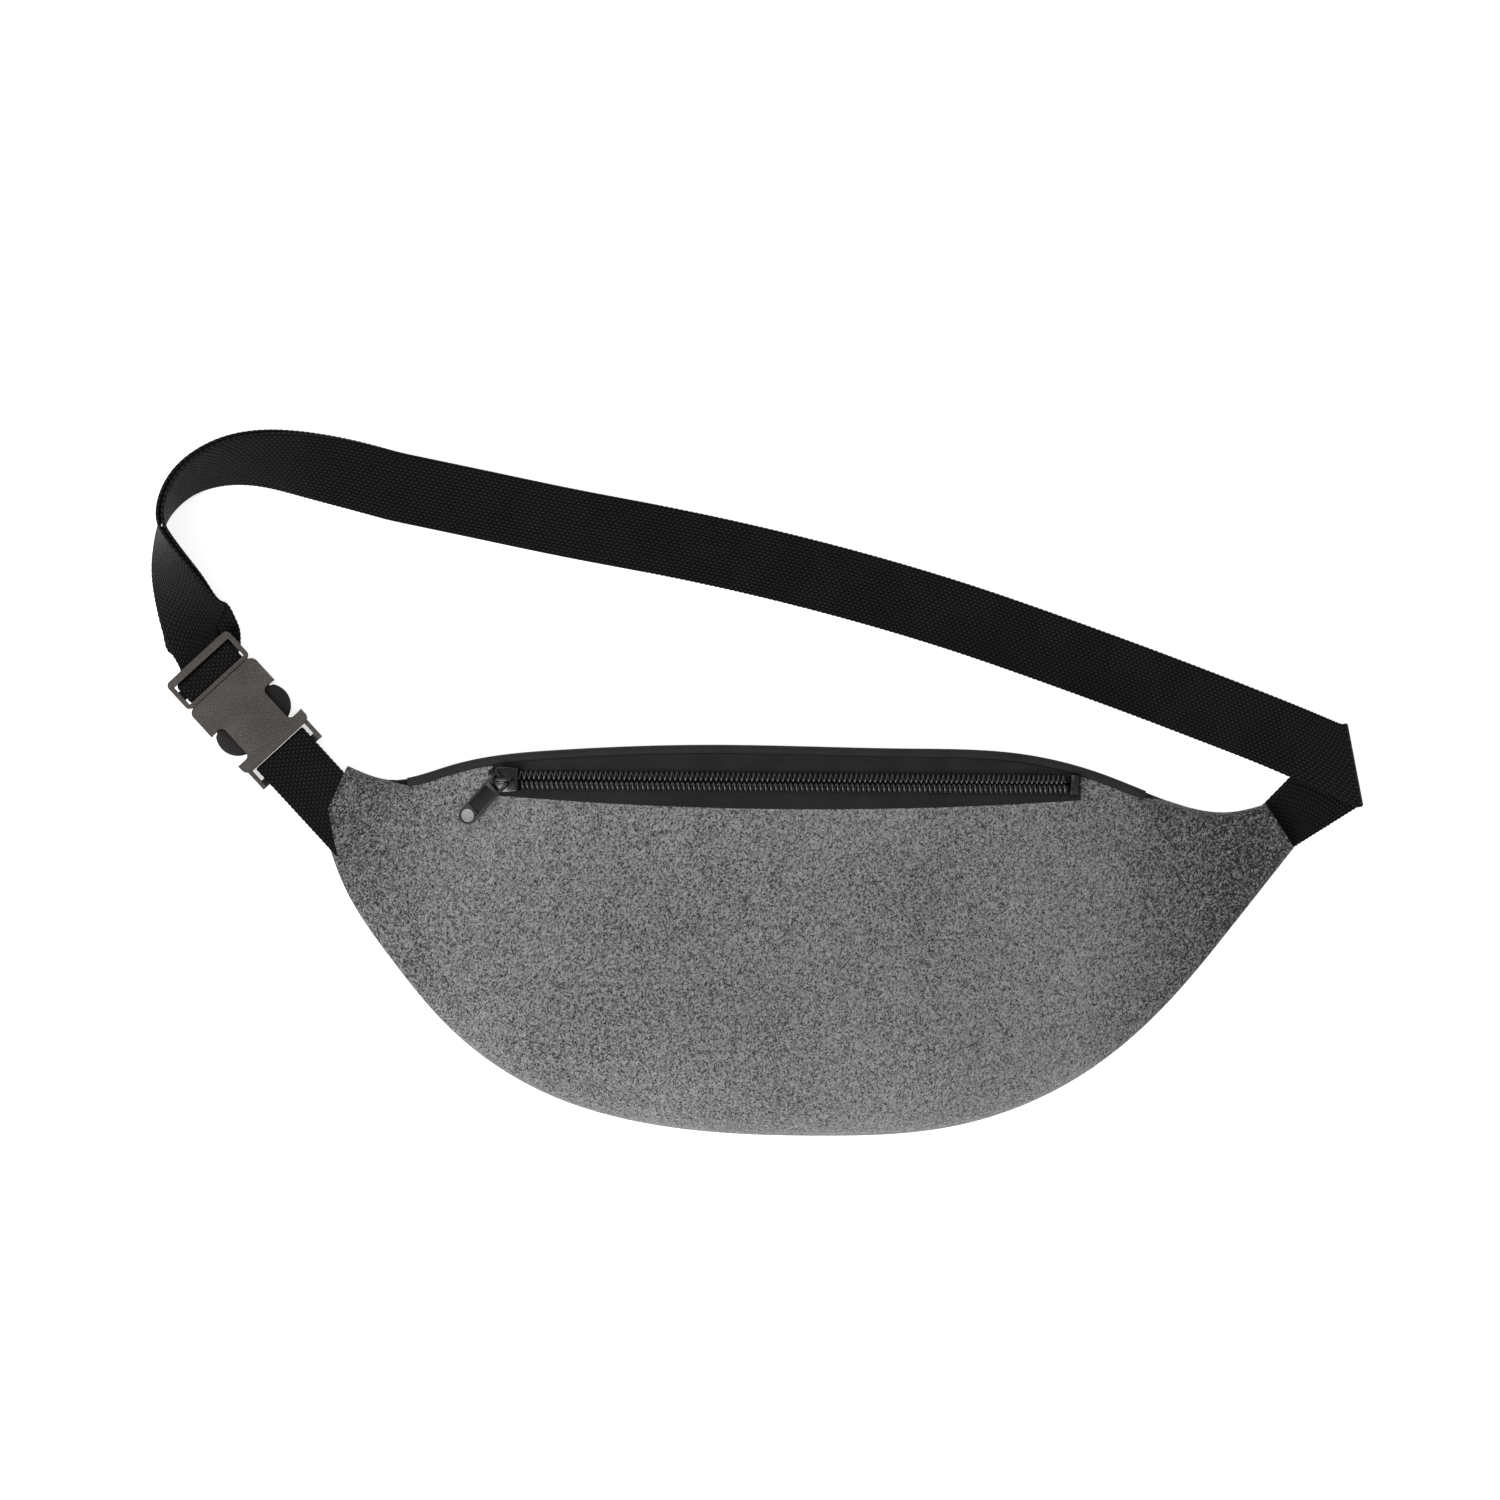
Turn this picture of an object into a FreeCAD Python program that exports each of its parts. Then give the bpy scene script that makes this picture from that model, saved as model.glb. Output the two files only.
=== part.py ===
"""Waist bag lying on its back, with its zip, its webbing belt and its side-squeeze buckle.

The frame's origin is the middle of the back panel's resting face. +X runs along the bag to its
right end, +Y towards the zipped edge and +Z up from the surface that the bag lies on.
All sizes are in millimetres and all angles in degrees.
"""
import FreeCAD, Part
import math
import os

V = FreeCAD.Vector
UP = V(0, 0, 1)

# --- driving sizes of the bag -------------------------------------------------------------
BAG_LENGTH = 364.0          # between the outer corners of the two end seams
BAG_HEIGHT = 146.0          # from the bottom edge's middle to the top edge's highest point
CREST = 34.0                # height of the zip's middle above the surface
END_RISE = 7.0              # height of the front panel where it is sewn to an end seam
SHOULDER = 46.0             # how far in from the bottom edge the front panel is still rising
SHOULDER_POWER = 2.3        # above 2 makes that shoulder fuller than an ellipse
FABRIC = 2.4                # the front panel: fabric, thin foam and lining
BACK = 2.6                  # the back panel with its mesh
LINING = 0.7
GUSSET = 1.8                # the wall between the back panel and the zip
ROLL = 3.4                  # diameter of the rolled edge on top of the gusset
BINDING_WIDTH = 5.0
BINDING = 1.2
BINDING_INSET = 14.0        # from the bag's bottom edge
LAYER_GAP = 0.25            # between two sewn layers, which are separate solids
ROLL_RISE = 1.4             # of the roll's top above the front panel
ROLL_FROM = -0.824 * BAG_LENGTH / 2     # stretch of the top edge where the roll is bare
ROLL_TO = 0.692 * BAG_LENGTH / 2
SHOULDER_SHARE = 0.62       # of the panel's width, the most that the shoulder takes
BACK_INSET = 0.4            # the back panel's edge, inside the front's
LINING_INSET = 7.8
SKIN_DEPTH = 1.0            # how far above the seam the zip's opening is cut from
ABOVE = CREST + 20.0        # higher than anything on the bag

# Corners and turns of the outline, as shares of the half length and the half height
BOTTOM_EDGE = [(-1.0, 0.605), (-0.955, 0.28), (-0.862, -0.08), (-0.738, -0.446), (-0.55, -0.77),
               (-0.305, -0.948), (0.02, -1.0), (0.313, -0.944), (0.562, -0.69), (0.744, -0.307),
               (0.87, 0.067), (1.0, 0.478)]
TOP_EDGE = [(-0.947, 0.904), (-0.862, 0.833), (-0.738, 0.9), (-0.52, 0.98), (-0.214, 1.007),
            (0.2, 0.988), (0.439, 0.96), (0.6, 0.862), (0.72, 0.745), (0.87, 0.667),
            (0.942, 0.707)]

# --- the zip, whose band lies round a large level cylinder ----------------------------------
ZIP_LENGTH = 0.607 * BAG_LENGTH     # bare length between the two fabric corners
ZIP_TURN = -0.5             # about +Z, so that the right end comes down a little
ZIP_RADIUS = 400.0          # from the cylinder's axis to the underside of the tapes
TAPE = 0.8
TAPE_PARTING = 1.2          # between the two tapes' inner edges
TAPE_REACH = 16.0           # from the middle line to a tape's hidden edge, before trimming
COIL_WIDTH = 7.4            # both rows together
ZIP_MIDDLE = V(-8.0, BAG_HEIGHT / 2 - 9.7 - COIL_WIDTH / 2, 0)
COIL_HEIGHT = 2.0
COIL_LIFT = 0.05            # coil to tape
COIL_PARTING = 1.2          # wide enough for the slider's neck to pass
LOWER_TAPE_SHOWS = 9.2      # from the middle line to the front panel's edge, at mid length
LOWER_TAPE_ENDS = COIL_WIDTH / 2 + 1.3      # the same at both ends, just past the slider
OPENING_TOP = 30.0          # the opening is cut this far above the middle line
STOP_LENGTH = 3.0
STOP_INSET = 1.0            # from the opening's end
TOP_STOP_LENGTH = 2.0

SLIDER_LENGTH = 9.6
SLIDER_INSET = 0.6          # from the opening's end, with the zip closed
SLIDER_WALL = 1.2
SLIDER_SIDE = 0.8
SLIDER_GAP = 0.3            # slider to tape, coil and stop
NECK_WIDTH = 0.7
NECK_LENGTH = 3.0
BAIL_WIRE = 1.2
BAIL_RISE = 3.5             # clear height below the bail
BAIL_STAKE = 0.6            # how deep the bail's legs are pressed into the slider
BAIL_SPAN = 5.4             # between the middles of its two legs
PULL_LENGTH = 23.0
PULL_WIDTH = 6.8
PULL = 1.3
PULL_BAR = 1.1              # diameter of the round bar under the bail
PULL_RAIL = 1.0
PULL_WINDOW = 4.6
PULL_NECK = 1.5             # solid between the window and the groove
PULL_CLEAR = 0.25           # bar to the bail's leg
PULL_HEADING = 226.0        # in plan, from +X
PULL_DROOP = 6.0            # the free end lies lower than the bar
PULL_SHIFT = 0.8            # sideways, so that the bail's leg and arch both clear the window
DISC_RADIUS = 2.8
DISC_DEPTH = 0.4
RIM = 0.8

# --- webbing ----------------------------------------------------------------------------------
WEB_WIDTH = 26.0
WEB = 1.4
WEB_GAP = 0.5               # between two layers of webbing
WEB_LOW = 0.3               # from the surface to the webbing's underside

# --- buckle: S runs from the ladder's outer bar to the tab, W across, from the buckle's middle --
LEFT_SEAM = V(-0.9735 * BAG_LENGTH / 2, 0.7545 * BAG_HEIGHT / 2, 0)     # middles of the end seams
RIGHT_SEAM = V(0.971 * BAG_LENGTH / 2, 0.5925 * BAG_HEIGHT / 2, 0)
BUCKLE_PLACE = LEFT_SEAM + V(-52.0, 51.2, 0)
BUCKLE_HEADING = -47.5
BUCKLE_HEIGHT = 9.0
RAIL = 1.8
LADDER_HALF = WEB_WIDTH / 2 + 0.7 + RAIL
CORNER = 2.0                # radius of the ladder's and the windows' corners
PLUG_LOW = 0.6              # top of the ladder below the socket's top
OUTER_BAR = 2.9
BAR_UNDER = WEB_LOW + 2 * WEB + WEB_GAP + 0.7   # underside of the ladder's bars, above two layers of webbing
BAR_TOP = BAR_UNDER + 1.8
SLOT = 2.3                  # each of the two slots beside the middle bar
MIDDLE_BAR = 4.0
SOCKET_MOUTH = 13.5
SOCKET_HALF = LADDER_HALF + 0.4
SOCKET_WALL = 1.7
SOCKET_CORNER = 2.5
WINDOW_FROM, WINDOW_TO = 25.8, 40.9
WAIST_HALF = SOCKET_HALF - 5.7
TOP_PLATE_TO = 45.5
SOCKET_TO = 53.6
WING_HALF = WEB_WIDTH / 2 + 1.8
WING_INSET = 1.0            # from the socket's top and underside
TAB_BAR = 3.0
TAB_BAR_LOW = WEB_LOW + WEB + 0.9
TAB_BAR_TOP = TAB_BAR_LOW + 3.2
TAB_HALF = WEB_WIDTH / 2 - 1.2      # half width of the tab's webbing, which is pulled in a little
TAB_REACH = 34.0            # from the socket's end to inside the end seam
TAB_FLAT = 8.0              # from the socket's end to where its lower layer starts to rise
TAB_UPPER = 2.0             # the same for its upper layer, which comes down
TAB_RISE = 1.2              # of the lower layer at the seam
TAB_TOP = 3.4               # of the upper layer at the seam
PLUG_GAP = 0.3              # plug to socket, on every side
PRONG_SLACK = 0.6           # prong to the socket's floor and roof
PRONG = BUCKLE_HEIGHT - 2 * (SOCKET_WALL + PRONG_SLACK)
PRONG_ROOT = 17.5
PRONG_ARM = 2.2
ARM_INSET = 5.0             # from the tongue's side to the arm's inner face
BULGE_HALF = SOCKET_HALF - 1.3
BULGE_CROWN = 0.6           # its middle, inside its widest place
NOSE_INSET = 6.5            # from the tongue's side to the nose
NOSE_SHORT = 1.0            # nose to the window's end
HOOK_FROM = 1.2             # the hook's face, past the window's start
HEEL = 0.6                  # where the arm's outer side ends, past the same
THROAT = 3.4                # depth of the arm behind the hook
GUIDE_OVERLAP = 1.0         # of the guide into the tongue
TONGUE_SLACK = 0.5          # tongue to the socket, besides the plug's own gap
GUIDE_HALF = 2.2
GUIDE_TO = 37.0
HOUSING_END = 42.2


# --- curves and sheets ------------------------------------------------------------------------
def curve(points):
    """A smooth curve through the points."""
    line = Part.BSplineCurve()
    line.interpolate(points)
    return line


def outline_curve(shares):
    return curve([V(x * BAG_LENGTH / 2, y * BAG_HEIGHT / 2, 0) for x, y in shares])


def spaced(line, count):
    """Points at equal distances along a curve, its ends included."""
    return line.toShape().discretize(Number=count)


def closed(faces):
    """One solid inside the given faces."""
    shell = Part.Shell(Part.makeShell(faces).Faces)
    sewn = shell.copy()
    sewn.sewShape(0.001)
    solid = Part.makeSolid(Part.Shell(sewn.Faces))
    if solid.Volume < 0:
        solid.reverse()
    return solid


def sheet(rows, shifts, thickness):
    """A sheet with one side through rows of points and the other side shifted along its normals."""
    other = [[p + n * thickness for p, n in zip(row, shift)] for row, shift in zip(rows, shifts)]
    near, far = Part.BSplineSurface(), Part.BSplineSurface()
    near.interpolate(rows)
    far.interpolate(other)
    faces = [near.toShape(), far.toShape()]
    ends = [lambda s: s.uIso(0.0), lambda s: s.uIso(1.0), lambda s: s.vIso(0.0), lambda s: s.vIso(1.0)]
    for side in ends:
        faces.append(Part.makeRuledSurface(side(near).toShape(), side(far).toShape()))
    return closed(faces)


def normals(rows):
    """A unit normal at each point of a grid, from its neighbours."""
    found = []
    last_row, last = len(rows) - 1, len(rows[0]) - 1
    for i, row in enumerate(rows):
        line = []
        for j in range(len(row)):
            along = rows[min(i + 1, last_row)][j] - rows[max(i - 1, 0)][j]
            across = row[min(j + 1, last)] - row[max(j - 1, 0)]
            line.append(along.cross(across).normalize())
        found.append(line)
    for line in found:      # the lower edge stands upright on the back panel
        line[0] = V(line[0].x, line[0].y, 0).normalize()
    return found


def strip(pairs, thickness):
    """A strip of webbing through pairs of edge points, centred on its thickness."""
    rings, last = [], len(pairs) - 1
    for k, (a, b) in enumerate(pairs):
        before, after = pairs[max(k - 1, 0)], pairs[min(k + 1, last)]
        along = (after[0] + after[1]) - (before[0] + before[1])
        face = along.cross(b - a).normalize() * (thickness / 2)
        ring = [a + face, b + face, b - face, a - face]
        rings.append(Part.makePolygon(ring + ring[:1]))
    return Part.makeLoft(rings, True, True)


def refined(pairs, count):
    """More stations between the given ones, on a smooth curve along each edge."""
    knots = [0.0]
    for before, after in zip(pairs, pairs[1:]):
        knots.append(knots[-1] + ((after[0] + after[1]) - (before[0] + before[1])).Length / 2)
    edges = []
    for side in (0, 1):
        edge = Part.BSplineCurve()
        edge.interpolate(Points=[pair[side] for pair in pairs], Parameters=knots)
        edges.append(edge)
    places = [knots[-1] * k / (count - 1) for k in range(count)]
    return [(edges[0].value(place), edges[1].value(place)) for place in places]


def prism(points, low, high):
    """An upright solid over a plan outline of straight sides."""
    ring = Part.makePolygon([V(p.x, p.y, low) for p in points + points[:1]])
    return Part.Face(ring).extrude(UP * (high - low))


# --- the bag's own form -------------------------------------------------------------------------
ALONG = 25                  # stations along the bag
PLAN_POINTS = 60            # along each half of the outline
ROLL_POINTS = 41
ACROSS = [0.0, 0.02, 0.06, 0.12, 0.2, 0.32, 0.46, 0.62, 0.8, 1.0]
BINDING_FROM = 5            # the first station along that the binding reaches
HALF_ZIP = ZIP_LENGTH / 2
SEAM = BACK + LAYER_GAP     # height at which the front panel starts on the back panel


def zip_height(x):
    """Height of the band's cylinder over a place along the bag."""
    off = min(abs(x - ZIP_MIDDLE.x), ZIP_RADIUS)
    return CREST - ZIP_RADIUS + math.sqrt(ZIP_RADIUS ** 2 - off ** 2)


def top_height(x):
    """Height of the front panel's flat part: the zip's cylinder, eased down to the end seams."""
    off = x - ZIP_MIDDLE.x
    if abs(off) <= HALF_ZIP:
        return zip_height(x)
    side = math.copysign(1, off)
    reach = BAG_LENGTH / 2 - side * ZIP_MIDDLE.x - HALF_ZIP
    start = zip_height(ZIP_MIDDLE.x + side * HALF_ZIP)
    slope = -HALF_ZIP / math.sqrt(ZIP_RADIUS ** 2 - HALF_ZIP ** 2) * reach
    t = min((abs(off) - HALF_ZIP) / reach, 1.0)
    ease = (2 * t ** 3 - 3 * t ** 2 + 1) * start + (t ** 3 - 2 * t ** 2 + t) * slope
    return ease + (3 * t ** 2 - 2 * t ** 3) * END_RISE


def drawn_in(line, inset):
    """Points moved square to their line, towards the bag's middle."""
    moved, last = [], len(line) - 1
    for k, p in enumerate(line):
        along = line[min(k + 1, last)] - line[max(k - 1, 0)]
        side = UP.cross(along).normalize()
        if side.y * p.y > 0:
            side = side * -1
        moved.append(p + side * inset)
    return moved


def panel_rows():
    """Grid over the front panel, from the bottom edge to the rolled edge."""
    bottom = spaced(outline_curve(BOTTOM_EDGE), ALONG)
    top = drawn_in(spaced(outline_curve(TOP_EDGE), ALONG), ROLL + LAYER_GAP)
    rows = []
    for low, high in zip(bottom, top):
        across = high - low
        length = across.Length
        way = across.normalize()
        reach = min(SHOULDER, SHOULDER_SHARE * length)
        row = []
        for share in ACROSS:
            run = share * length
            rise = min(run / reach, 1.0)
            full = (1 - (1 - rise) ** SHOULDER_POWER) ** (1 / SHOULDER_POWER)
            place = low + way * run
            row.append(V(place.x, place.y, SEAM + (top_height(place.x) - SEAM) * full))
        rows.append(row)
    return rows


def zip_opening(margin):
    """Plan of the zip's opening in the front panel, grown by a margin."""
    half = HALF_ZIP + margin
    dip = LOWER_TAPE_SHOWS - LOWER_TAPE_ENDS
    shares = [k / 8 for k in range(-8, 9)]
    points = [V(half * t, -LOWER_TAPE_ENDS - dip * (1 - t ** 2) - margin, 0) for t in shares]
    points += [V(half, OPENING_TOP, 0), V(-half, OPENING_TOP, 0)]
    turn = FreeCAD.Rotation(UP, ZIP_TURN)
    return [ZIP_MIDDLE + turn.multVec(p) for p in points]


def inside_roll(margin):
    """Plan of everything on the bag's side of the rolled edge."""
    top = drawn_in(spaced(outline_curve(TOP_EDGE), PLAN_POINTS), ROLL + margin)
    return top + [V(BAG_LENGTH, -BAG_HEIGHT, 0), V(-BAG_LENGTH, -BAG_HEIGHT, 0)]


def bag_plan(inset):
    """Outline of the whole bag, drawn in by an inset."""
    ring = spaced(outline_curve(BOTTOM_EDGE), PLAN_POINTS) + spaced(outline_curve(TOP_EDGE), PLAN_POINTS)[::-1]
    wire = Part.makePolygon(ring + ring[:1])
    if inset:
        wire = wire.makeOffset2D(-inset)
    return wire


def plan_solid(inset, low, high):
    wire = bag_plan(inset)
    wire.translate(UP * low)
    return Part.Face(wire).extrude(UP * (high - low))


def front_pieces():
    rows = panel_rows()
    out = normals(rows)
    inward = -1.0 if out[ALONG // 2][-1].z > 0 else 1.0
    fabric = sheet(rows, out, inward * FABRIC)
    hole = prism(zip_opening(LAYER_GAP), SEAM + SKIN_DEPTH, ABOVE)
    return {"front_panel": fabric.cut(hole)}


def edge_tube(line, height, radius):
    """A round roll along a plan curve whose height follows the bag's top."""
    path = curve([V(p.x, p.y, height(p.x)) for p in line])
    start = path.value(path.FirstParameter)
    ring = Part.Wire(Part.makeCircle(radius, start, path.tangent(path.FirstParameter)[0]))
    return Part.Wire(path.toShape()).makePipe(Part.Face(ring))


def back_pieces():
    middle = drawn_in(spaced(outline_curve(TOP_EDGE), ROLL_POINTS), ROLL / 2)
    middle = [p for p in middle if ROLL_FROM <= p.x <= ROLL_TO]
    roll = edge_tube(middle, lambda x: top_height(x) - ROLL / 2 + ROLL_RISE, ROLL / 2)
    drop = ROLL + 2 * LAYER_GAP - ROLL_RISE
    pairs = [(p + UP * SEAM, p + UP * (top_height(p.x) - drop)) for p in middle]
    lining = plan_solid(LINING_INSET, SEAM, SEAM + LINING)
    return {"back_panel": plan_solid(BACK_INSET, 0.0, BACK), "back_lining": lining,
            "top_gusset": strip(pairs, GUSSET), "top_edge_roll": roll}


def seam_binding():
    """Tape folded over the raw edges inside the bottom seam."""
    line = drawn_in(spaced(outline_curve(BOTTOM_EDGE), ALONG), BINDING_INSET)[BINDING_FROM:-BINDING_FROM]
    low = SEAM + LINING + LAYER_GAP
    pairs = [(foot + UP * low, foot + UP * (low + BINDING_WIDTH)) for foot in line]
    return {"seam_binding": strip(pairs, BINDING)}


# --- zip ------------------------------------------------------------------------------------------
ZIP_CENTRE = V(ZIP_MIDDLE.x, ZIP_MIDDLE.y, CREST - ZIP_RADIUS)
SLIDER_AT = -HALF_ZIP + SLIDER_LENGTH / 2 + SLIDER_INSET
COIL_LOW = TAPE + COIL_LIFT
COIL_TOP = COIL_LOW + COIL_HEIGHT
SLIDER_TOP = COIL_TOP + SLIDER_GAP + SLIDER_WALL
SLIDER_HALF = COIL_WIDTH / 2 + SLIDER_GAP + SLIDER_SIDE


def turned(shape):
    """The same shape, turned with the zip about its middle."""
    shape.rotate(ZIP_MIDDLE, UP, ZIP_TURN)
    return shape


def band(y_low, y_high, low, high, start, end):
    """A bar round the zip's cylinder: sideways, above the tapes' underside, and along the zip."""
    turn = math.degrees(1.0 / ZIP_RADIUS)
    floor = ZIP_CENTRE + V(0, 0, ZIP_RADIUS)
    corners = [floor + V(0, y, z) for y, z in ((y_low, low), (y_high, low), (y_high, high), (y_low, high))]
    face = Part.Face(Part.makePolygon(corners + corners[:1]))
    face.rotate(ZIP_CENTRE, V(0, 1, 0), start * turn)
    return face.revolve(ZIP_CENTRE, V(0, 1, 0), (end - start) * turn)


def at_slider(shape):
    """A shape drawn level over the zip's middle, carried round the cylinder to the slider."""
    shape.rotate(ZIP_CENTRE, V(0, 1, 0), math.degrees(SLIDER_AT / ZIP_RADIUS))
    return turned(shape)


def zip_pieces():
    inner, outer = TAPE_PARTING / 2, TAPE_REACH
    inside = prism(inside_roll(LAYER_GAP), 0, ABOVE)
    opening = prism(zip_opening(0.0), 0, ABOVE).common(inside)
    upper = turned(band(inner, outer, 0, TAPE, -HALF_ZIP, HALF_ZIP)).common(opening)
    lower = turned(band(-outer, -inner, 0, TAPE, -HALF_ZIP, HALF_ZIP)).common(opening)
    coil_from = SLIDER_AT - SLIDER_LENGTH / 2 + NECK_LENGTH + SLIDER_GAP
    stop_from = HALF_ZIP - STOP_INSET - STOP_LENGTH
    half = COIL_WIDTH / 2
    coils = [turned(band(y, y + half - COIL_PARTING / 2, COIL_LOW, COIL_TOP, coil_from,
                   stop_from - LAYER_GAP)).common(inside)
             for y in (COIL_PARTING / 2, -half)]
    stop = band(-half, half, COIL_LOW, COIL_TOP, stop_from, stop_from + STOP_LENGTH)
    stop = turned(stop).common(inside)
    start = SLIDER_AT - SLIDER_LENGTH / 2 - SLIDER_GAP
    top_stop = turned(band(inner, half, COIL_LOW, COIL_TOP, start - TOP_STOP_LENGTH, start))
    return {"zip_tape_upper": upper, "zip_tape_lower": lower, "zip_coil_upper": coils[0],
            "zip_coil_lower": coils[1], "zip_bottom_stop": stop, "zip_top_stop": top_stop}


def slider_body():
    """Two plates joined by a neck between the tapes, with a flange down each side of the coil."""
    a, b = SLIDER_AT - SLIDER_LENGTH / 2, SLIDER_AT + SLIDER_LENGTH / 2
    under = -SLIDER_GAP - SLIDER_WALL
    top = band(-SLIDER_HALF, SLIDER_HALF, SLIDER_TOP - SLIDER_WALL, SLIDER_TOP, a, b)
    bottom = band(-SLIDER_HALF, SLIDER_HALF, under, -SLIDER_GAP, a, b)
    neck = band(-NECK_WIDTH / 2, NECK_WIDTH / 2, under, SLIDER_TOP, a, a + NECK_LENGTH)
    body = top.fuse([bottom, neck])
    for side in (1, -1):
        edges = sorted((side * SLIDER_HALF, side * (SLIDER_HALF - SLIDER_SIDE)))
        body = body.fuse(band(edges[0], edges[1], TAPE + SLIDER_GAP, SLIDER_TOP, a, b))
    return turned(body.removeSplitter())


BAIL_FOOT = CREST + SLIDER_TOP
BAR_LEVEL = BAIL_FOOT + (BAIL_RISE - BAIL_STAKE) / 2
BAIL_LEG = V(ZIP_MIDDLE.x - BAIL_SPAN / 2, ZIP_MIDDLE.y, 0)


def slider_bail():
    """Square wire arch over the slider, lengthwise; the pull's window hangs on it."""
    half, wire = BAIL_SPAN / 2, BAIL_WIRE / 2
    outer = Part.makeBox(2 * (half + wire), BAIL_WIRE, BAIL_RISE + BAIL_WIRE,
                         V(ZIP_MIDDLE.x - half - wire, ZIP_MIDDLE.y - wire, BAIL_FOOT))
    corners = [e for e in outer.Edges if abs(e.BoundBox.ZMin - BAIL_FOOT - BAIL_RISE - BAIL_WIRE) < 0.01
               and e.BoundBox.YLength > 1]
    outer = outer.makeFillet(BAIL_WIRE, corners)
    inner = Part.makeBox(2 * (half - wire), BAIL_WIRE, BAIL_RISE,
                         V(ZIP_MIDDLE.x - half + wire, ZIP_MIDDLE.y - wire, BAIL_FOOT))
    arch = outer.cut(inner)
    arch.translate(UP * -BAIL_STAKE)
    return at_slider(arch)


def pull_bar_place():
    """Middle of the pull's bar, level over the zip's middle, before the slider's own turn."""
    way = V(math.cos(math.radians(PULL_HEADING)), math.sin(math.radians(PULL_HEADING)), 0)
    side = UP.cross(way)
    clear = BAIL_WIRE / math.sqrt(2) + PULL_BAR / 2 + PULL_CLEAR
    place = BAIL_LEG - way * clear + side * PULL_SHIFT
    return V(place.x, place.y, BAR_LEVEL), way, side


def pull_tab():
    """Flat bar with a round bar and a window at one end and a dished disc at the other."""
    half, thick = PULL_WIDTH / 2, PULL / 2
    end = PULL_LENGTH - half
    plate = Part.makeBox(end, PULL_WIDTH, PULL, V(0, -half, -thick))
    plate = plate.fuse(Part.makeCylinder(half, PULL, V(end, 0, -thick)))
    window = Part.makeBox(PULL_WINDOW, PULL_WIDTH - 2 * PULL_RAIL, PULL, V(0, -half + PULL_RAIL, -thick))
    plate = plate.cut(window)
    plate = plate.cut(Part.makeCylinder(DISC_RADIUS, DISC_DEPTH, V(end, 0, thick - DISC_DEPTH)))
    groove_from = PULL_WINDOW + PULL_NECK
    groove = Part.makeBox(end - DISC_RADIUS - RIM - groove_from, PULL_WIDTH - 2 * RIM, DISC_DEPTH,
                          V(groove_from, -half + RIM, thick - DISC_DEPTH))
    plate = plate.cut(groove)
    bar = Part.makeCylinder(PULL_BAR / 2, PULL_WIDTH, V(0, -half, 0), V(0, 1, 0))
    tab = plate.fuse(bar).removeSplitter()
    tab.rotate(V(0, 0, 0), V(0, 1, 0), PULL_DROOP)
    tab.rotate(V(0, 0, 0), UP, PULL_HEADING)
    tab.translate(pull_bar_place()[0])
    return at_slider(tab)


# --- buckle ---------------------------------------------------------------------------------------
def placed(shape):
    """A shape drawn in the buckle's own S, W and height, moved to where the buckle lies."""
    shape.rotate(V(0, 0, 0), UP, BUCKLE_HEADING)
    shape.translate(BUCKLE_PLACE)
    return shape


def block(s_low, s_high, w_low, w_high, z_low, z_high):
    return Part.makeBox(s_high - s_low, w_high - w_low, z_high - z_low, V(s_low, w_low, z_low))


def rounded_upright(solid, radius):
    """The same solid with its upright edges rounded."""
    upright = [e for e in solid.Edges if e.BoundBox.XLength < 0.01 and e.BoundBox.YLength < 0.01]
    return solid.makeFillet(radius, upright)


def buckle_socket():
    """Flat sleeve with a mouth, a window each side, and two wings that hold the tab's bar."""
    height, wall = BUCKLE_HEIGHT, SOCKET_WALL
    body = rounded_upright(block(SOCKET_MOUTH, TOP_PLATE_TO, -SOCKET_HALF, SOCKET_HALF, 0, height),
                           SOCKET_CORNER)
    hollow = block(SOCKET_MOUTH, HOUSING_END, -SOCKET_HALF + wall, SOCKET_HALF - wall, wall, height - wall)
    body = body.cut(hollow)
    for side in (1, -1):
        edges = sorted((side * WAIST_HALF, side * (SOCKET_HALF + 1)))
        cut = block(WINDOW_FROM, WINDOW_TO, edges[0], edges[1], -1, height + 1)
        body = body.cut(rounded_upright(cut, CORNER))
        wing = sorted((side * (WEB_WIDTH / 2 + WEB_GAP / 2), side * WING_HALF))
        body = body.fuse(block(WINDOW_TO, SOCKET_TO, wing[0], wing[1], WING_INSET, height - WING_INSET))
    bar = block(SOCKET_TO - TAB_BAR, SOCKET_TO, -WING_HALF, WING_HALF, TAB_BAR_LOW, TAB_BAR_TOP)
    return placed(body.fuse(bar).removeSplitter())


def buckle_plug():
    """Ladder with two bars for the belt, a base that stops at the mouth, and a middle guide."""
    high = BUCKLE_HEIGHT - PLUG_LOW
    base_from = OUTER_BAR + 2 * SLOT + MIDDLE_BAR
    frame = rounded_upright(block(0, SOCKET_MOUTH - PLUG_GAP, -LADDER_HALF, LADDER_HALF, BAR_UNDER, high),
                            CORNER)
    slots = block(OUTER_BAR, base_from, -LADDER_HALF + RAIL, LADDER_HALF - RAIL, 0, high + 1)
    frame = frame.cut(slots)
    bar_from = OUTER_BAR + SLOT
    frame = frame.fuse(block(bar_from, bar_from + MIDDLE_BAR, -LADDER_HALF + RAIL, LADDER_HALF - RAIL,
                             BAR_UNDER, BAR_TOP))
    inside = SOCKET_WALL + PLUG_GAP
    tongue_half = SOCKET_HALF - SOCKET_WALL - PLUG_GAP
    frame = frame.fuse(block(base_from, PRONG_ROOT, -tongue_half, tongue_half, inside + TONGUE_SLACK,
                             BUCKLE_HEIGHT - inside - TONGUE_SLACK))
    guide = block(PRONG_ROOT - GUIDE_OVERLAP, GUIDE_TO, -GUIDE_HALF, GUIDE_HALF, inside, BUCKLE_HEIGHT - inside)
    return placed(frame.fuse(guide).removeSplitter())


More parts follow.
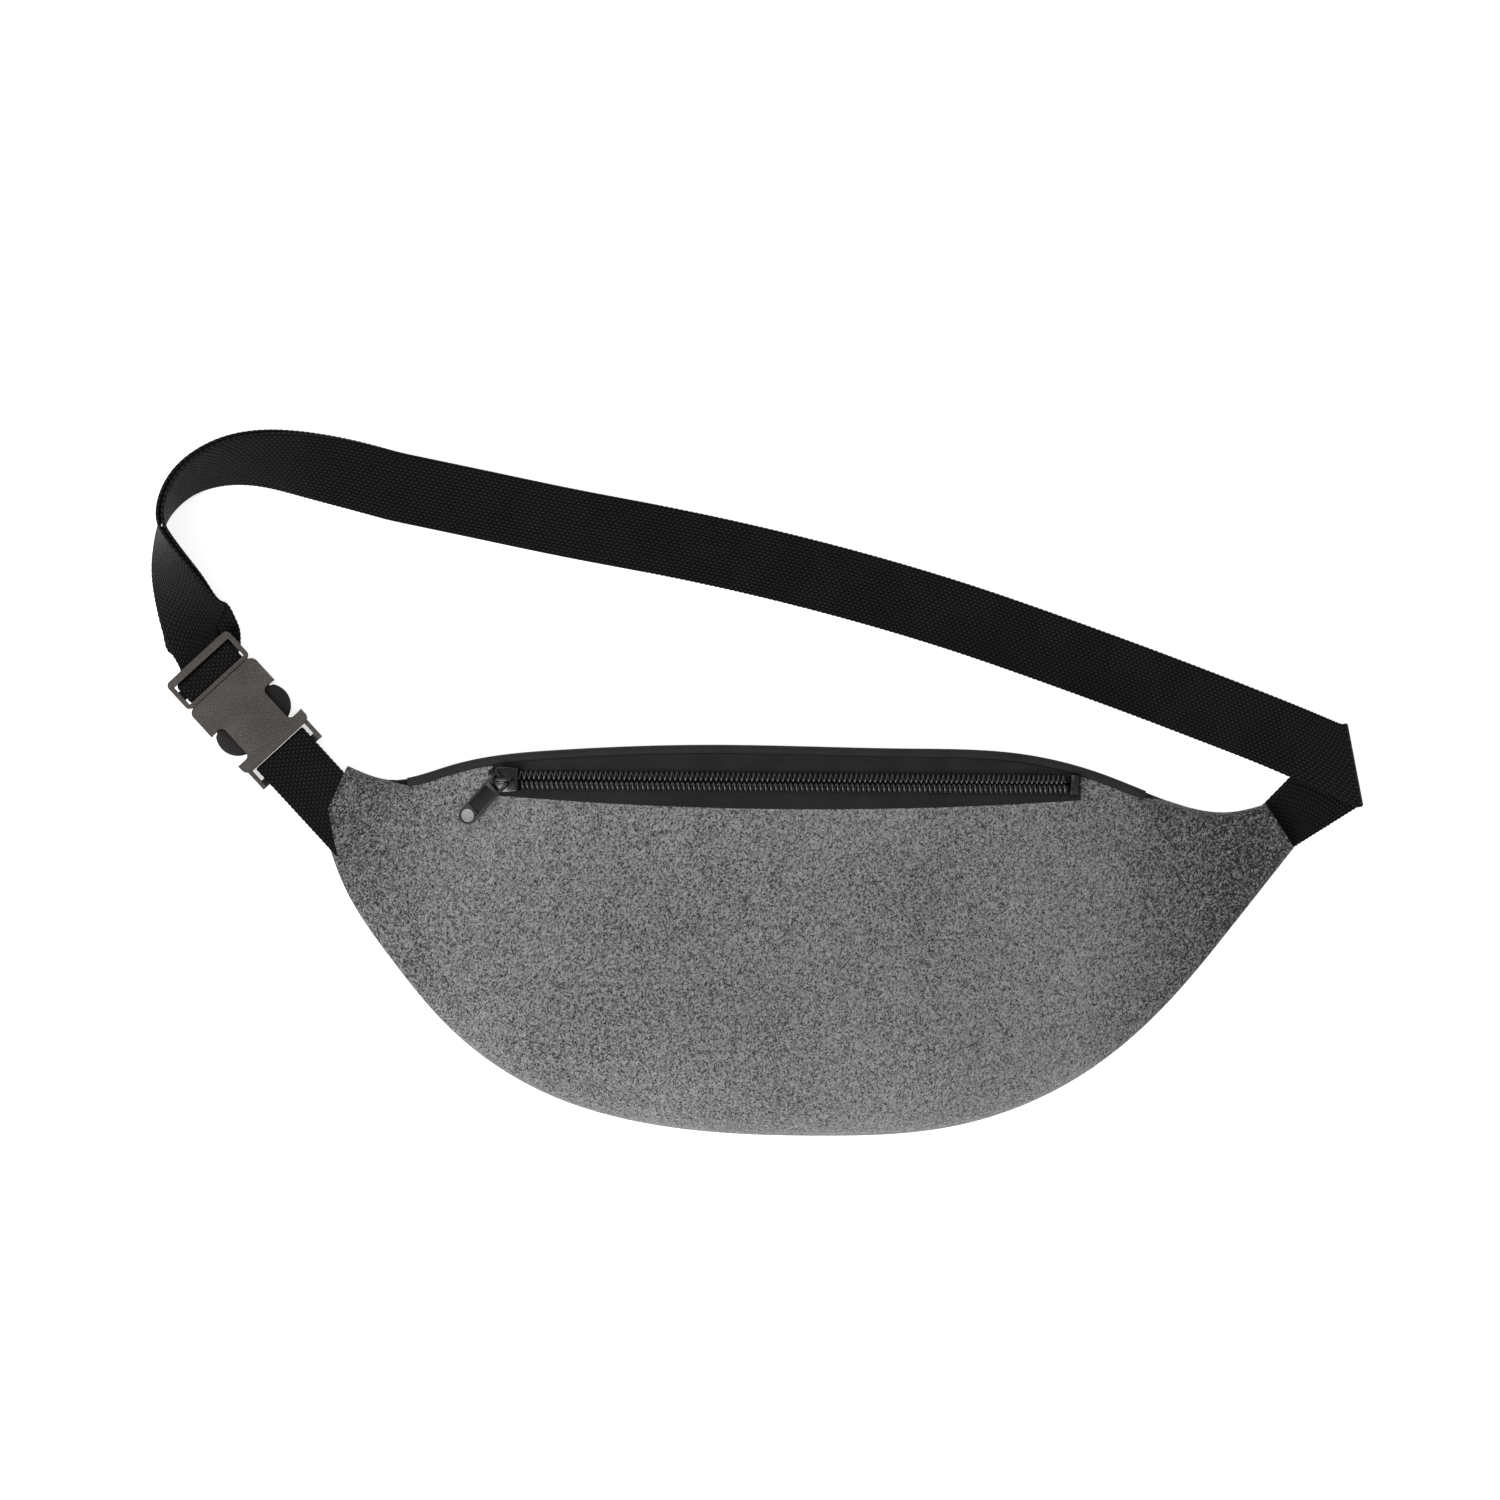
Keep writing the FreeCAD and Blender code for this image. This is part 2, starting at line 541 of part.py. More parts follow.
def prong(side):
    """Springy arm with a rounded bulge that shows in the socket's window."""
    low = (BUCKLE_HEIGHT - PRONG) / 2
    root, tip = PRONG_ROOT + PLUG_GAP, WINDOW_TO - NOSE_SHORT
    outer = SOCKET_HALF - SOCKET_WALL - PLUG_GAP
    arm_low = outer - ARM_INSET
    hook = V(WINDOW_FROM + HOOK_FROM, BULGE_HALF, low)
    nose = V(tip, outer - NOSE_INSET, low)
    crown = V((hook.x + tip) / 2 + ARM_INSET - HOOK_FROM, BULGE_HALF - BULGE_CROWN, low)
    ring = [nose, V(tip - HOOK_FROM, outer - NOSE_INSET - HOOK_FROM, low), V(WINDOW_FROM, outer - THROAT, low),
            V(root, arm_low, low), V(root, arm_low + PRONG_ARM, low),
            V(WINDOW_FROM + HEEL, outer - HEEL, low), hook]
    edges = [Part.makeLine(a, b) for a, b in zip(ring, ring[1:])] + [Part.Arc(hook, crown, nose).toShape()]
    arm = Part.Face(Part.Wire(edges)).extrude(UP * PRONG)
    if side < 0:
        arm = arm.mirror(V(0, 0, 0), V(0, 1, 0))
    return placed(arm)


def webbing_path(points, half_width):
    """Webbing whose route is drawn in the buckle's S and height, one thickness thick."""
    sides = [[], []]
    last = len(points) - 1
    for k, (s, z) in enumerate(points):
        here = V(s, 0, z)
        ways = [V(b[0] - a[0], 0, b[1] - a[1]).normalize()
                for a, b in zip(points[max(k - 1, 0):k + 1], points[max(k - 1, 0) + 1:k + 2])]
        first, second = ways[0], ways[-1]
        split = (first + second).normalize()
        normal = split.cross(V(0, 1, 0)) * (WEB / 2 / split.dot(first))
        sides[0].append(here + normal)
        sides[1].append(here - normal)
    ring = sides[0] + sides[1][::-1]
    face = Part.Face(Part.makePolygon(ring + ring[:1]))
    face.translate(V(0, -half_width, 0))
    return placed(face.extrude(V(0, 2 * half_width, 0)))


LOAD_LEVEL = WEB_LOW + WEB / 2                  # middle of the layer that carries the load
TAIL_LEVEL = LOAD_LEVEL + WEB + WEB_GAP
WRAP_FROM = -1.0
WRAP_GAP = 0.25                                 # webbing to the bar inside its loop
BEVEL = 0.6                                     # at each turn of a loop


def belt_bar_wrap():
    """Belt up through the inner slot, over the middle bar, down the outer slot and back out."""
    away = WRAP_GAP + WEB / 2
    over = BAR_TOP + away
    outer_leg = OUTER_BAR + SLOT - away
    inner_leg = OUTER_BAR + SLOT + MIDDLE_BAR + away
    route = [(WRAP_FROM, LOAD_LEVEL), (inner_leg - BEVEL, LOAD_LEVEL), (inner_leg, LOAD_LEVEL + BEVEL),
             (inner_leg, over - BEVEL), (inner_leg - BEVEL, over), (outer_leg + BEVEL, over),
             (outer_leg, over - BEVEL), (outer_leg, TAIL_LEVEL + BEVEL),
             (outer_leg - BEVEL, TAIL_LEVEL), (WRAP_FROM, TAIL_LEVEL)]
    return webbing_path(route, WEB_WIDTH / 2)


def tab_webbing():
    """Two layers from the left end seam, looped round the socket's bar."""
    inner_leg = SOCKET_TO - TAB_BAR - WRAP_GAP - WEB / 2
    low, high = LOAD_LEVEL, TAB_BAR_TOP + WRAP_GAP + WEB / 2
    end = SOCKET_TO + TAB_REACH
    route = [(end, low + TAB_RISE), (SOCKET_TO + TAB_FLAT, low), (inner_leg + BEVEL, low),
             (inner_leg, low + BEVEL), (inner_leg, high - BEVEL), (inner_leg + BEVEL, high),
             (SOCKET_TO + TAB_UPPER, high), (end, low + TAB_TOP)]
    loop = webbing_path(route, TAB_HALF)
    return loop.cut(plan_solid(-LAYER_GAP, -ABOVE, ABOVE))


# --- belt -----------------------------------------------------------------------------------------
# Places of the edge that stays on the surface, from the buckle's, with the way across to the other
# edge in plan and the angle by which the webbing leans up from flat. From the run to the buckle.
LIFTED = WEB + WEB_GAP                          # height of the upper of two layers
TURN = [(72.4, 51.2, 80.4, 0), (55.6, 55.7, 81, 9), (38.7, 60.3, 84.5, 26), (27.4, 63.3, 89, 38),
        (16.2, 64.7, 96, 49), (6.2, 63.7, 107, 60), (-1.4, 60.9, 122, 70), (-7.2, 56.5, 141, 80),
        (-11.6, 50.7, 166, 91), (-14.0, 42.7, 184, 106), (-15.2, 33.7, 192, 122),
        (-14.8, 23.7, 195, 139), (-13.2, 13.3, 200, 157), (-11.2, 2.7, 208, 172)]
# The same along the run: share of the way from the turn to the crease, and how far off that line
RUN = [(0.091, 2.8, 79, 1.0), (0.182, 5.7, 78, 1.0), (0.244, 8.1, 77.5, 1.0),
       (0.325, 10.8, 76.5, 0.2), (0.455, 13.1, 74, 0), (0.579, 13.0, 72, 0),
       (0.674, 11.3, 70.5, 0.1), (0.769, 9.0, 69.5, 0.6), (0.841, 6.8, 69, 1.3),
       (0.903, 4.7, 69, 1.6)]
CREASE_LOW = RIGHT_SEAM + V(29.2, 6.65, 0)
CREASE = (CREASE_LOW, CREASE_LOW + V(-0.231, 1.2115, 0) * WEB_WIDTH)
BELT_SEAM = (RIGHT_SEAM + V(5.1, -8.35, 0), RIGHT_SEAM + V(-5.3, 8.35, 0))
SEAM_LIFT = 0.7
TURN_STATIONS = 48
RUN_STATIONS = 56
TAIL_END = -0.385 * BAG_LENGTH / 2              # how far along the run the tail reaches
HEM = 9.0
FOLD_STEP = 30                                  # degrees between stations round the crease
FOLD_LIFT = 1.5                                 # of the run at the crease, in layers


def edge_pair(x, y, bearing, lean, lift):
    """The two edge points of the webbing at one station."""
    way, tilt = math.radians(bearing), math.radians(lean)
    near = V(x, y, LOAD_LEVEL + lift)
    across = V(math.cos(tilt) * math.cos(way), math.cos(tilt) * math.sin(way), math.sin(tilt))
    return near, near + across * WEB_WIDTH


def buckle_pair(s, level):
    """The webbing's two edge points where it reaches the buckle."""
    turn = FreeCAD.Rotation(UP, BUCKLE_HEADING)
    return tuple(BUCKLE_PLACE + turn.multVec(V(s, w, level)) for w in (-WEB_WIDTH / 2, WEB_WIDTH / 2))


def buckle_end(level):
    """The last two stations, in line with the buckle."""
    return [buckle_pair(WRAP_FROM - LAYER_GAP - back, level) for back in (2.5, 0.0)]


def turn_pairs():
    pairs = []
    for x, y, bearing, lean in TURN:
        above = max(math.cos(math.radians(lean)), 0)    # of the tail, which lies under the run
        place = BUCKLE_PLACE + V(x, y, 0)
        pairs.append(edge_pair(place.x, place.y, bearing, lean, LIFTED * above))
    return pairs + buckle_end(LOAD_LEVEL)


def run_pairs():
    x, y, bearing, _ = TURN[0]
    start = BUCKLE_PLACE + V(x, y, 0)
    pairs = [edge_pair(start.x, start.y, bearing, 0, LIFTED)]
    line = CREASE[0] - start
    off_line = UP.cross(line).normalize()
    for share, off, bearing, lift in RUN:
        place = start + line * share + off_line * off
        pairs.append(edge_pair(place.x, place.y, bearing, 0, LIFTED * lift))
    return pairs


def offset_pairs(pairs, amount):
    """The same strip moved along its own normals."""
    moved, last = [], len(pairs) - 1
    for k, (a, b) in enumerate(pairs):
        before, after = pairs[max(k - 1, 0)], pairs[min(k + 1, last)]
        along = (after[0] + after[1]) - (before[0] + before[1])
        face = along.cross(b - a).normalize() * amount
        moved.append((a + face, b + face))
    return moved


def fold_pairs(low, high):
    """The half turn that the webbing makes round its crease, from one level up to the other."""
    radius = (high - low) / 2
    out = (CREASE[1] - CREASE[0]).cross(UP).normalize()
    pairs = []
    for turn in range(0, 181, FOLD_STEP):
        way = math.radians(turn)
        move = out * (LAYER_GAP + radius * math.sin(way)) + UP * (low + radius * (1 - math.cos(way)))
        pairs.append((CREASE[0] + move, CREASE[1] + move))
    return pairs


def belt_pieces():
    turn = refined(turn_pairs(), TURN_STATIONS)
    fold_top = LOAD_LEVEL + FOLD_LIFT * LIFTED
    run = refined(run_pairs() + [tuple(p + UP * fold_top for p in CREASE)], RUN_STATIONS)
    at_seam = tuple(p + UP * (LOAD_LEVEL + SEAM_LIFT) for p in BELT_SEAM)
    end = strip([at_seam, tuple(p + UP * LOAD_LEVEL for p in CREASE)], WEB)
    tail = offset_pairs(turn, LIFTED)
    for line in (turn, tail):           # clear of the run, whose end has its own slant
        start = (line[1][0] - line[0][0]).normalize() * LAYER_GAP
        line[0] = tuple(p + start for p in line[0])
    under = [(V(a.x, a.y, LOAD_LEVEL), V(b.x, b.y, LOAD_LEVEL)) for a, b in run if a.x < TAIL_END + HEM]
    along = (under[-1][0] - under[-2][0]).normalize()
    hem = [tuple(p + along * reach for p in under[-1]) for reach in (LAYER_GAP, LAYER_GAP + HEM)]
    return {"belt_end": end.cut(plan_solid(-LAYER_GAP, -ABOVE, ABOVE)),
            "belt_fold": strip(fold_pairs(LOAD_LEVEL, fold_top), WEB),
            "belt_long_run": strip(run, WEB), "belt_turn": strip(turn, WEB),
            "tail_turn": strip(tail, WEB), "tail_run": strip(under, WEB), "tail_hem": strip(hem, WEB)}


def build():
    parts = {}
    parts.update(front_pieces())
    parts.update(back_pieces())
    parts.update(seam_binding())
    parts.update(zip_pieces())
    parts.update({"slider_body": slider_body(), "slider_bail": slider_bail(), "pull_tab": pull_tab()})
    parts.update({"buckle_socket": buckle_socket(), "buckle_plug": buckle_plug(),
                  "prong_left": prong(-1), "prong_right": prong(1)})
    parts.update({"belt_bar_wrap": belt_bar_wrap(), "tab_webbing": tab_webbing()})
    parts.update(belt_pieces())
    return parts


os.makedirs("parts", exist_ok=True)
for name, shape in build().items():
    shape.exportStep("parts/" + name + ".step")
    box = shape.optimalBoundingBox()
    print(name, shape.ShapeType, len(shape.Solids), "valid" if shape.isValid() else "NOT VALID",
          round(shape.Volume, 1), "z", round(box.ZMin, 2), round(box.ZMax, 2))
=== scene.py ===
"""Finished look of a waist bag that lies on its back: padded front, rolled edge, coil zip, belt and buckle.

Shapes are drawn in millimetres in the part's own frame: +X to the bag's right end, +Y to the zipped edge
and +Z up from the surface. They become metres when a piece is finished.
"""
import logging
import math
from dataclasses import dataclass
from enum import Enum
from typing import Callable, Sequence

import bmesh
import bpy
import numpy as np
from mathutils import Matrix, Vector, noise


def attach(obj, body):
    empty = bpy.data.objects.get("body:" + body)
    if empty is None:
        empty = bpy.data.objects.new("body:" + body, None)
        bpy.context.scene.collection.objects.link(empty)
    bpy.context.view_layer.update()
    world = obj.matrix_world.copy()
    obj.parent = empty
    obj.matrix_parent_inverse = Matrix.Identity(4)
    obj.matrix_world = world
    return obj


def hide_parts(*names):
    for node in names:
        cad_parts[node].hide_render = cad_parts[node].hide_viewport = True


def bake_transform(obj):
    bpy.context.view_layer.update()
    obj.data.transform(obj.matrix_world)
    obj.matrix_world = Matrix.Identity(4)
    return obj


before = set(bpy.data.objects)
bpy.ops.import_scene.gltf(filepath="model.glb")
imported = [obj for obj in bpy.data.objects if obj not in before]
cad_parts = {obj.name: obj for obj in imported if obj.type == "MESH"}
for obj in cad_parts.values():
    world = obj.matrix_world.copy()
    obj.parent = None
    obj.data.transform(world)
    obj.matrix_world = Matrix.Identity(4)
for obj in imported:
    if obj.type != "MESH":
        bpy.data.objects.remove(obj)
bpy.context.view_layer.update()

METRE = 1000.0              # millimetres
log = logging.getLogger("waist_bag")


class Body(Enum):
    """The bodies that pieces ride on."""

    BAG = "bag"
    SLIDER = "slider"
    PULL = "pull"
    PLUG = "plug"
    PRONG_LEFT = "prong_l"
    PRONG_RIGHT = "prong_r"


class Held(Enum):
    """How a sheet keeps its shape."""

    STRETCHED = "stretched"
    FOLDED = "folded"


# --- lines and grids ---------------------------------------------------------------------------
def evened(line: np.ndarray, count: int) -> np.ndarray:
    """Points at even distances along a line.

    Args:
        line: one point a row; rows of six numbers hold the two edges of a strip.
        count: how many points to give.

    Returns:
        The new points, one a row.
    """
    middle = line if line.shape[1] < 6 else (line[:, :3] + line[:, 3:]) / 2
    run = np.concatenate([[0.0], np.cumsum(np.linalg.norm(np.diff(middle, axis=0), axis=1))])
    places = np.linspace(0.0, run[-1], count)
    return np.stack([np.interp(places, run, line[:, k]) for k in range(line.shape[1])], axis=1)


def smooth_line(points: Sequence[Sequence[float]], count: int) -> np.ndarray:
    """Points at even distances along a smooth curve through the given points.

    Args:
        points: what the curve passes through.
        count: how many points to give.

    Returns:
        The new points, one a row.
    """
    p = np.array([tuple(q) for q in points], float)
    middle = p if p.shape[1] < 6 else (p[:, :3] + p[:, 3:]) / 2
    t = np.concatenate([[0.0], np.cumsum(np.linalg.norm(np.diff(middle, axis=0), axis=1))])
    n, h = len(p), np.diff(t)
    system, right = np.eye(n), np.zeros_like(p)
    for i in range(1, n - 1):
        system[i, i - 1:i + 2] = h[i - 1], 2 * (h[i - 1] + h[i]), h[i]
        right[i] = 6 * ((p[i + 1] - p[i]) / h[i] - (p[i] - p[i - 1]) / h[i - 1])
    bend = np.linalg.solve(system, right)
    places = np.linspace(0.0, t[-1], 40 * n)
    k = np.clip(np.searchsorted(t, places, side="right") - 1, 0, n - 2)
    a, b = (t[k + 1] - places)[:, None], (places - t[k])[:, None]
    w = h[k][:, None]
    line = (bend[k] * a ** 3 + bend[k + 1] * b ** 3) / (6 * w)
    line += (p[k] / w - bend[k] * w / 6) * a + (p[k + 1] / w - bend[k + 1] * w / 6) * b
    return evened(line, count)


def across(line: np.ndarray) -> np.ndarray:
    """Level unit vectors square to a line, on its left."""
    way = np.gradient(line[:, :2], axis=0)
    way /= np.linalg.norm(way, axis=1)[:, None]
    return np.stack([-way[:, 1], way[:, 0], np.zeros(len(way))], axis=1)


def grid(long: int, wide: int, place: Callable[[int, int], Sequence[float]],
         print_at: Callable[[int, int], tuple[float, float]], tube: bool = False) -> bmesh.types.BMesh:
    """A grid of quads laid over a surface.

    Args:
        long: faces in the first direction.
        wide: faces in the second direction.
        place: where grid point (i, j) lies.
        print_at: the pattern's coordinates there, in millimetres.
        tube: the second direction closes on itself, and the two ends are filled.

    Returns:
        The mesh, in millimetres.
    """
    bm = bmesh.new()
    uv = bm.loops.layers.uv.new("UVMap")
    bmesh.ops.create_grid(bm, x_segments=long, y_segments=wide, size=1.0)
    spot = {}
    for v in bm.verts:
        spot[v] = (round((v.co.x + 1) / 2 * long), round((v.co.y + 1) / 2 * wide))
    for face in bm.faces:
        for loop in face.loops:
            loop[uv].uv = print_at(*spot[loop.vert])
    for v, (i, j) in spot.items():
        v.co = place(i, j)
    if tube:
        bmesh.ops.remove_doubles(bm, verts=bm.verts, dist=0.0005)
        bmesh.ops.holes_fill(bm, edges=[e for e in bm.edges if e.is_boundary])
    bmesh.ops.recalc_face_normals(bm, faces=bm.faces)
    return bm


def wire(points: np.ndarray, radius: float, sides: int = 2) -> bmesh.types.BMesh:
    """A round wire or roll along points, with closed ends.

    Args:
        points: its middle line, in millimetres.
        radius: of its section, in millimetres.
        sides: resolution of the round section.

    Returns:
        The mesh, in millimetres.
    """
    data = bpy.data.curves.new("wire", "CURVE")
    data.dimensions = "3D"
    data.bevel_depth, data.bevel_resolution, data.use_fill_caps = radius, sides, True
    spline = data.splines.new("POLY")
    spline.points.add(len(points) - 1)
    for target, p in zip(spline.points, points):
        target.co = (*p, 1.0)
    holder = bpy.data.objects.new("wire", data)
    mesh = bpy.data.meshes.new_from_object(holder)
    bm = bmesh.new()
    bm.from_mesh(mesh)
    bpy.data.objects.remove(holder)
    bpy.data.curves.remove(data)
    bmesh.ops.remove_doubles(bm, verts=bm.verts, dist=0.0005)
    bmesh.ops.recalc_face_normals(bm, faces=bm.faces)
    return bm


def joined(meshes: Sequence[bmesh.types.BMesh]) -> bmesh.types.BMesh:
    """Several meshes as one."""
    whole = bmesh.new()
    for bm in meshes:
        part = bpy.data.meshes.new("part")
        bm.to_mesh(part)
        whole.from_mesh(part)
        bpy.data.meshes.remove(part)
        bm.free()
    return whole


def plate(outline: Sequence[Sequence[float]], low: float, high: float) -> bmesh.types.BMesh:
    """A flat plate over an outline.

    Args:
        outline: its corners in plan, in order.
        low: height of its underside, in millimetres.
        high: height of its top, in millimetres.

    Returns:
        The mesh, in millimetres.
    """
    bm = bmesh.new()
    face = bm.faces.new([bm.verts.new((p[0], p[1], low)) for p in outline])
    up = bmesh.ops.extrude_face_region(bm, geom=[face])
    top = [v for v in up["geom"] if isinstance(v, bmesh.types.BMVert)]
    bmesh.ops.translate(bm, vec=(0, 0, high - low), verts=top)
    bmesh.ops.recalc_face_normals(bm, faces=bm.faces)
    return bm


def soften(bm: bmesh.types.BMesh, edges: Sequence[bmesh.types.BMEdge], width: float,
           segments: int = 3) -> None:
    """Rounds edges of a mesh to a width in millimetres."""
    bmesh.ops.bevel(bm, geom=edges, offset=width, offset_type="OFFSET", segments=segments, profile=0.5,
                    affect="EDGES", clamp_overlap=True, material=-1)


def stitches(line: np.ndarray, reach: float, width: float) -> bmesh.types.BMesh:
    """A row of thread stitches, each a small rounded bar.

    Args:
        line: points along the row, two for each stitch and the gap after it.
        reach: length of one stitch.
        width: thickness of the thread.

    Returns:
        The mesh, in millimetres.
    """
    bm = bmesh.new()
    for start, end in zip(line[:-1:2], line[1::2]):
        way = Vector(end - start).normalized()
        turn = way.to_track_quat("X", "Z").to_matrix().to_4x4()
        size = Matrix.Diagonal((reach / 2, width / 2, width / 3, 1))
        place = Matrix.Translation(Vector((start + end) / 2)) @ turn @ size
        bmesh.ops.create_uvsphere(bm, u_segments=6, v_segments=5, radius=1.0, matrix=place)
    return bm


def eased(node: str, width: float, segments: int = 2) -> bmesh.types.BMesh:
    """A moulded or cast part with its sharp edges eased.

    Args:
        node: the part's name in the frame.
        width: of the rounding, in millimetres.
        segments: faces round each edge.

    Returns:
        The mesh, in millimetres.
    """
    bm = bmesh.new()
    bm.from_mesh(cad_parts[node].data)
    bmesh.ops.scale(bm, vec=(METRE,) * 3, verts=bm.verts)
    bmesh.ops.remove_doubles(bm, verts=bm.verts, dist=0.004)
    bmesh.ops.dissolve_limit(bm, angle_limit=math.radians(1.5), verts=bm.verts, edges=bm.edges)
    sharp = [e for e in bm.edges if e.is_manifold and e.calc_face_angle(0.0) > math.radians(35)]
    soften(bm, sharp, width, segments)
    return bm


# --- finishes ----------------------------------------------------------------------------------
def tone(red: float, green: float, blue: float) -> tuple[float, float, float, float]:
    """A colour for a shader from its 0 to 255 values."""
    shares = [c / 255 for c in (red, green, blue)]
    return (*[((c + 0.055) / 1.055) ** 2.4 if c > 10 / 255 else c / 12.92 for c in shares], 1.0)


class Recipe:
    """One material's nodes, put together a step at a time."""

    def __init__(self, name: str) -> None:
        """Starts a material with an empty shader."""
        self.material = bpy.data.materials.new(name)
        self.material.use_nodes = True
        self.tree = self.material.node_tree
        self.tree.nodes.clear()
        self.shader = self.tree.nodes.new("ShaderNodeBsdfPrincipled")
        out = self.tree.nodes.new("ShaderNodeOutputMaterial")
        self.tree.links.new(self.shader.outputs[0], out.inputs[0])
        self.coordinates = self.tree.nodes.new("ShaderNodeTexCoord")

    def feed(self, socket: bpy.types.NodeSocket, value: object) -> None:
        """Links a socket to another one, or sets its number or colour."""
        if isinstance(value, bpy.types.NodeSocket):
            self.tree.links.new(value, socket)
        else:
            socket.default_value = value

    def step(self, kind: str, out: int | str = 0, **inputs: object) -> bpy.types.NodeSocket:
        """Adds a node.

        Args:
            kind: the node's type, without its ShaderNode start.
            out: which output to give.
            **inputs: its inputs, with _ for a space.

        Returns:
            The chosen output.
        """
        node = self.tree.nodes.new("ShaderNode" + kind)
        for name, value in inputs.items():
            self.feed(node.inputs[name.replace("_", " ")], value)
        return node.outputs[out]

    def sum(self, operation: str, *values: object) -> bpy.types.NodeSocket:
        """One step of arithmetic on numbers or sockets."""
        node = self.tree.nodes.new("ShaderNodeMath")
        node.operation = operation
        for socket, value in zip(node.inputs, values):
            self.feed(socket, value)
        return node.outputs[0]

    def blend(self, share: object, low: object, high: object) -> bpy.types.NodeSocket:
        """A colour between two colours."""
        node = self.tree.nodes.new("ShaderNodeMix")
        node.data_type = "RGBA"
        for socket, value in zip((node.inputs[0], node.inputs[6], node.inputs[7]), (share, low, high)):
            self.feed(socket, value)
        return node.outputs[2]

    def spread(self, value: object, low: float, high: float, to_low: float,
               to_high: float) -> bpy.types.NodeSocket:
        """A value moved from one range to another, held inside it."""
        return self.step("MapRange", Value=value, From_Min=low, From_Max=high, To_Min=to_low, To_Max=to_high)

    def cloudy(self, scale: float, detail: float = 2.0) -> bpy.types.NodeSocket:
        """Soft noise over the whole object, at so many features a metre."""
        return self.step("TexNoise", Vector=self.coordinates.outputs["Object"], Scale=scale, Detail=detail)

    def raised(self, height: object, depth: float, strength: float = 1.0) -> None:
        """Gives the surface a relief, whose depth is in metres."""
        self.feed(self.shader.inputs["Normal"],
                  self.step("Bump", Strength=strength, Distance=depth, Height=height))

    def printed(self) -> tuple[bpy.types.NodeSocket, bpy.types.NodeSocket]:
        """The piece's own coordinates along and across, in millimetres."""
        parts = self.tree.nodes.new("ShaderNodeSeparateXYZ")
        self.feed(parts.inputs[0], self.coordinates.outputs["UV"])
        return parts.outputs[0], parts.outputs[1]

    def wave(self, value: object, length: float) -> bpy.types.NodeSocket:
        """Round humps of 0 to 1 along a value, one to each length."""
        return self.sum("ABSOLUTE", self.sum("SINE", self.sum("MULTIPLY", value, math.pi / length)))

    def set(self, **constants: object) -> None:
        """Sets the shader's own sockets."""
        for name, value in constants.items():
            self.feed(self.shader.inputs[name.replace("_", " ")], value)


@dataclass(frozen=True)
class Finish:
    """What every finish has: a name, a colour in its hollows and one on its tops."""

    name: str
    low: tuple[float, float, float]
    high: tuple[float, float, float]
    roughness: float

    def build(self, r: Recipe) -> None:
        """Adds this finish's own nodes."""
        raise NotImplementedError

    def material(self) -> bpy.types.Material:
        """The finish as a material, made once."""
        found = bpy.data.materials.get(self.name)
        if found is None:
            r = Recipe(self.name)
            self.build(r)
            found = r.material
        return found


@dataclass(frozen=True)
class HeatherCloth(Finish):
    """Speckled cloth, woven from light and dark yarn in specks of one size."""

    speck: float = 0.58
    sheen: float = 0.12
    middle: float = -14.0       # painted shade: the colour darkens towards both tips, either side of this x, for the shade on the sloping ends
    tip_shade: float = 0.2

    def build(self, r: Recipe) -> None:
        """Random light and dark specks over a fine weave, with painted shade towards the two tips."""
        place = r.coordinates.outputs["Object"]
        first = r.step("TexVoronoi", "Color", Vector=place, Scale=METRE / self.speck)
        second = r.step("TexVoronoi", "Color", Vector=place, Scale=METRE / (0.6 * self.speck))
        specks = r.sum("ADD", r.sum("MULTIPLY", first, 0.6), r.sum("MULTIPLY", second, 0.4))
        parts = r.tree.nodes.new("ShaderNodeSeparateXYZ")
        r.feed(parts.inputs[0], place)
        # painted shade: the cloth is darker towards both tips, where the ends slope away from the light
        end = r.sum("ADD", r.sum("ABSOLUTE", r.sum("SUBTRACT", parts.outputs[0], self.middle / METRE)),
                    r.sum("MULTIPLY", r.cloudy(22.0), 0.03))
        tip_shading = r.spread(end, 0.13, 0.19, 0.0, -self.tip_shade)
        tip_shade_and_drift = r.sum("ADD", tip_shading, r.spread(r.cloudy(14.0), 0.3, 0.7, -0.04, 0.04))
        share = r.spread(r.sum("ADD", specks, tip_shade_and_drift), 0.22, 0.78, 0.0, 1.0)
        r.set(Base_Color=r.blend(share, tone(*self.low), tone(*self.high)), Roughness=self.roughness,
              Sheen_Weight=self.sheen, Sheen_Roughness=0.5, Specular_IOR_Level=0.2)
        r.raised(r.sum("ADD", specks, r.cloudy(2600.0)), 0.00022, 0.7)


@dataclass(frozen=True)
class Webbing(Finish):
    """Heavy webbing: plump threads in rows across, each row half a thread on from the last."""

    along: float = 1.9
    across: float = 1.3
    depth: float = 0.0008

    def build(self, r: Recipe) -> None:
        """Brick-laid threads on the strip's own coordinates."""
        u, v = r.printed()
        row = r.sum("FLOOR", r.sum("DIVIDE", v, self.across))
        moved = r.sum("ADD", u, r.sum("MULTIPLY", row, self.along / 2))
        threads = r.sum("MULTIPLY", r.wave(moved, self.along), r.wave(v, self.across))
        height = r.sum("POWER", threads, 0.5)
        fibres = r.cloudy(3200.0, 3.0)
        worn = r.spread(r.cloudy(60.0), 0.35, 0.7, 0.75, 1.0)
        share = r.sum("MULTIPLY", r.sum("MULTIPLY", height, worn), r.spread(fibres, 0.3, 0.7, 0.7, 1.0))
        r.set(Base_Color=r.blend(share, tone(*self.low), tone(*self.high)), Sheen_Weight=0.01,
              Sheen_Roughness=0.4, Specular_IOR_Level=0.08,
              Roughness=r.spread(fibres, 0.3, 0.7, self.roughness - 0.08, self.roughness + 0.08))
        r.raised(r.sum("ADD", height, r.sum("MULTIPLY", fibres, 0.15)), self.depth)


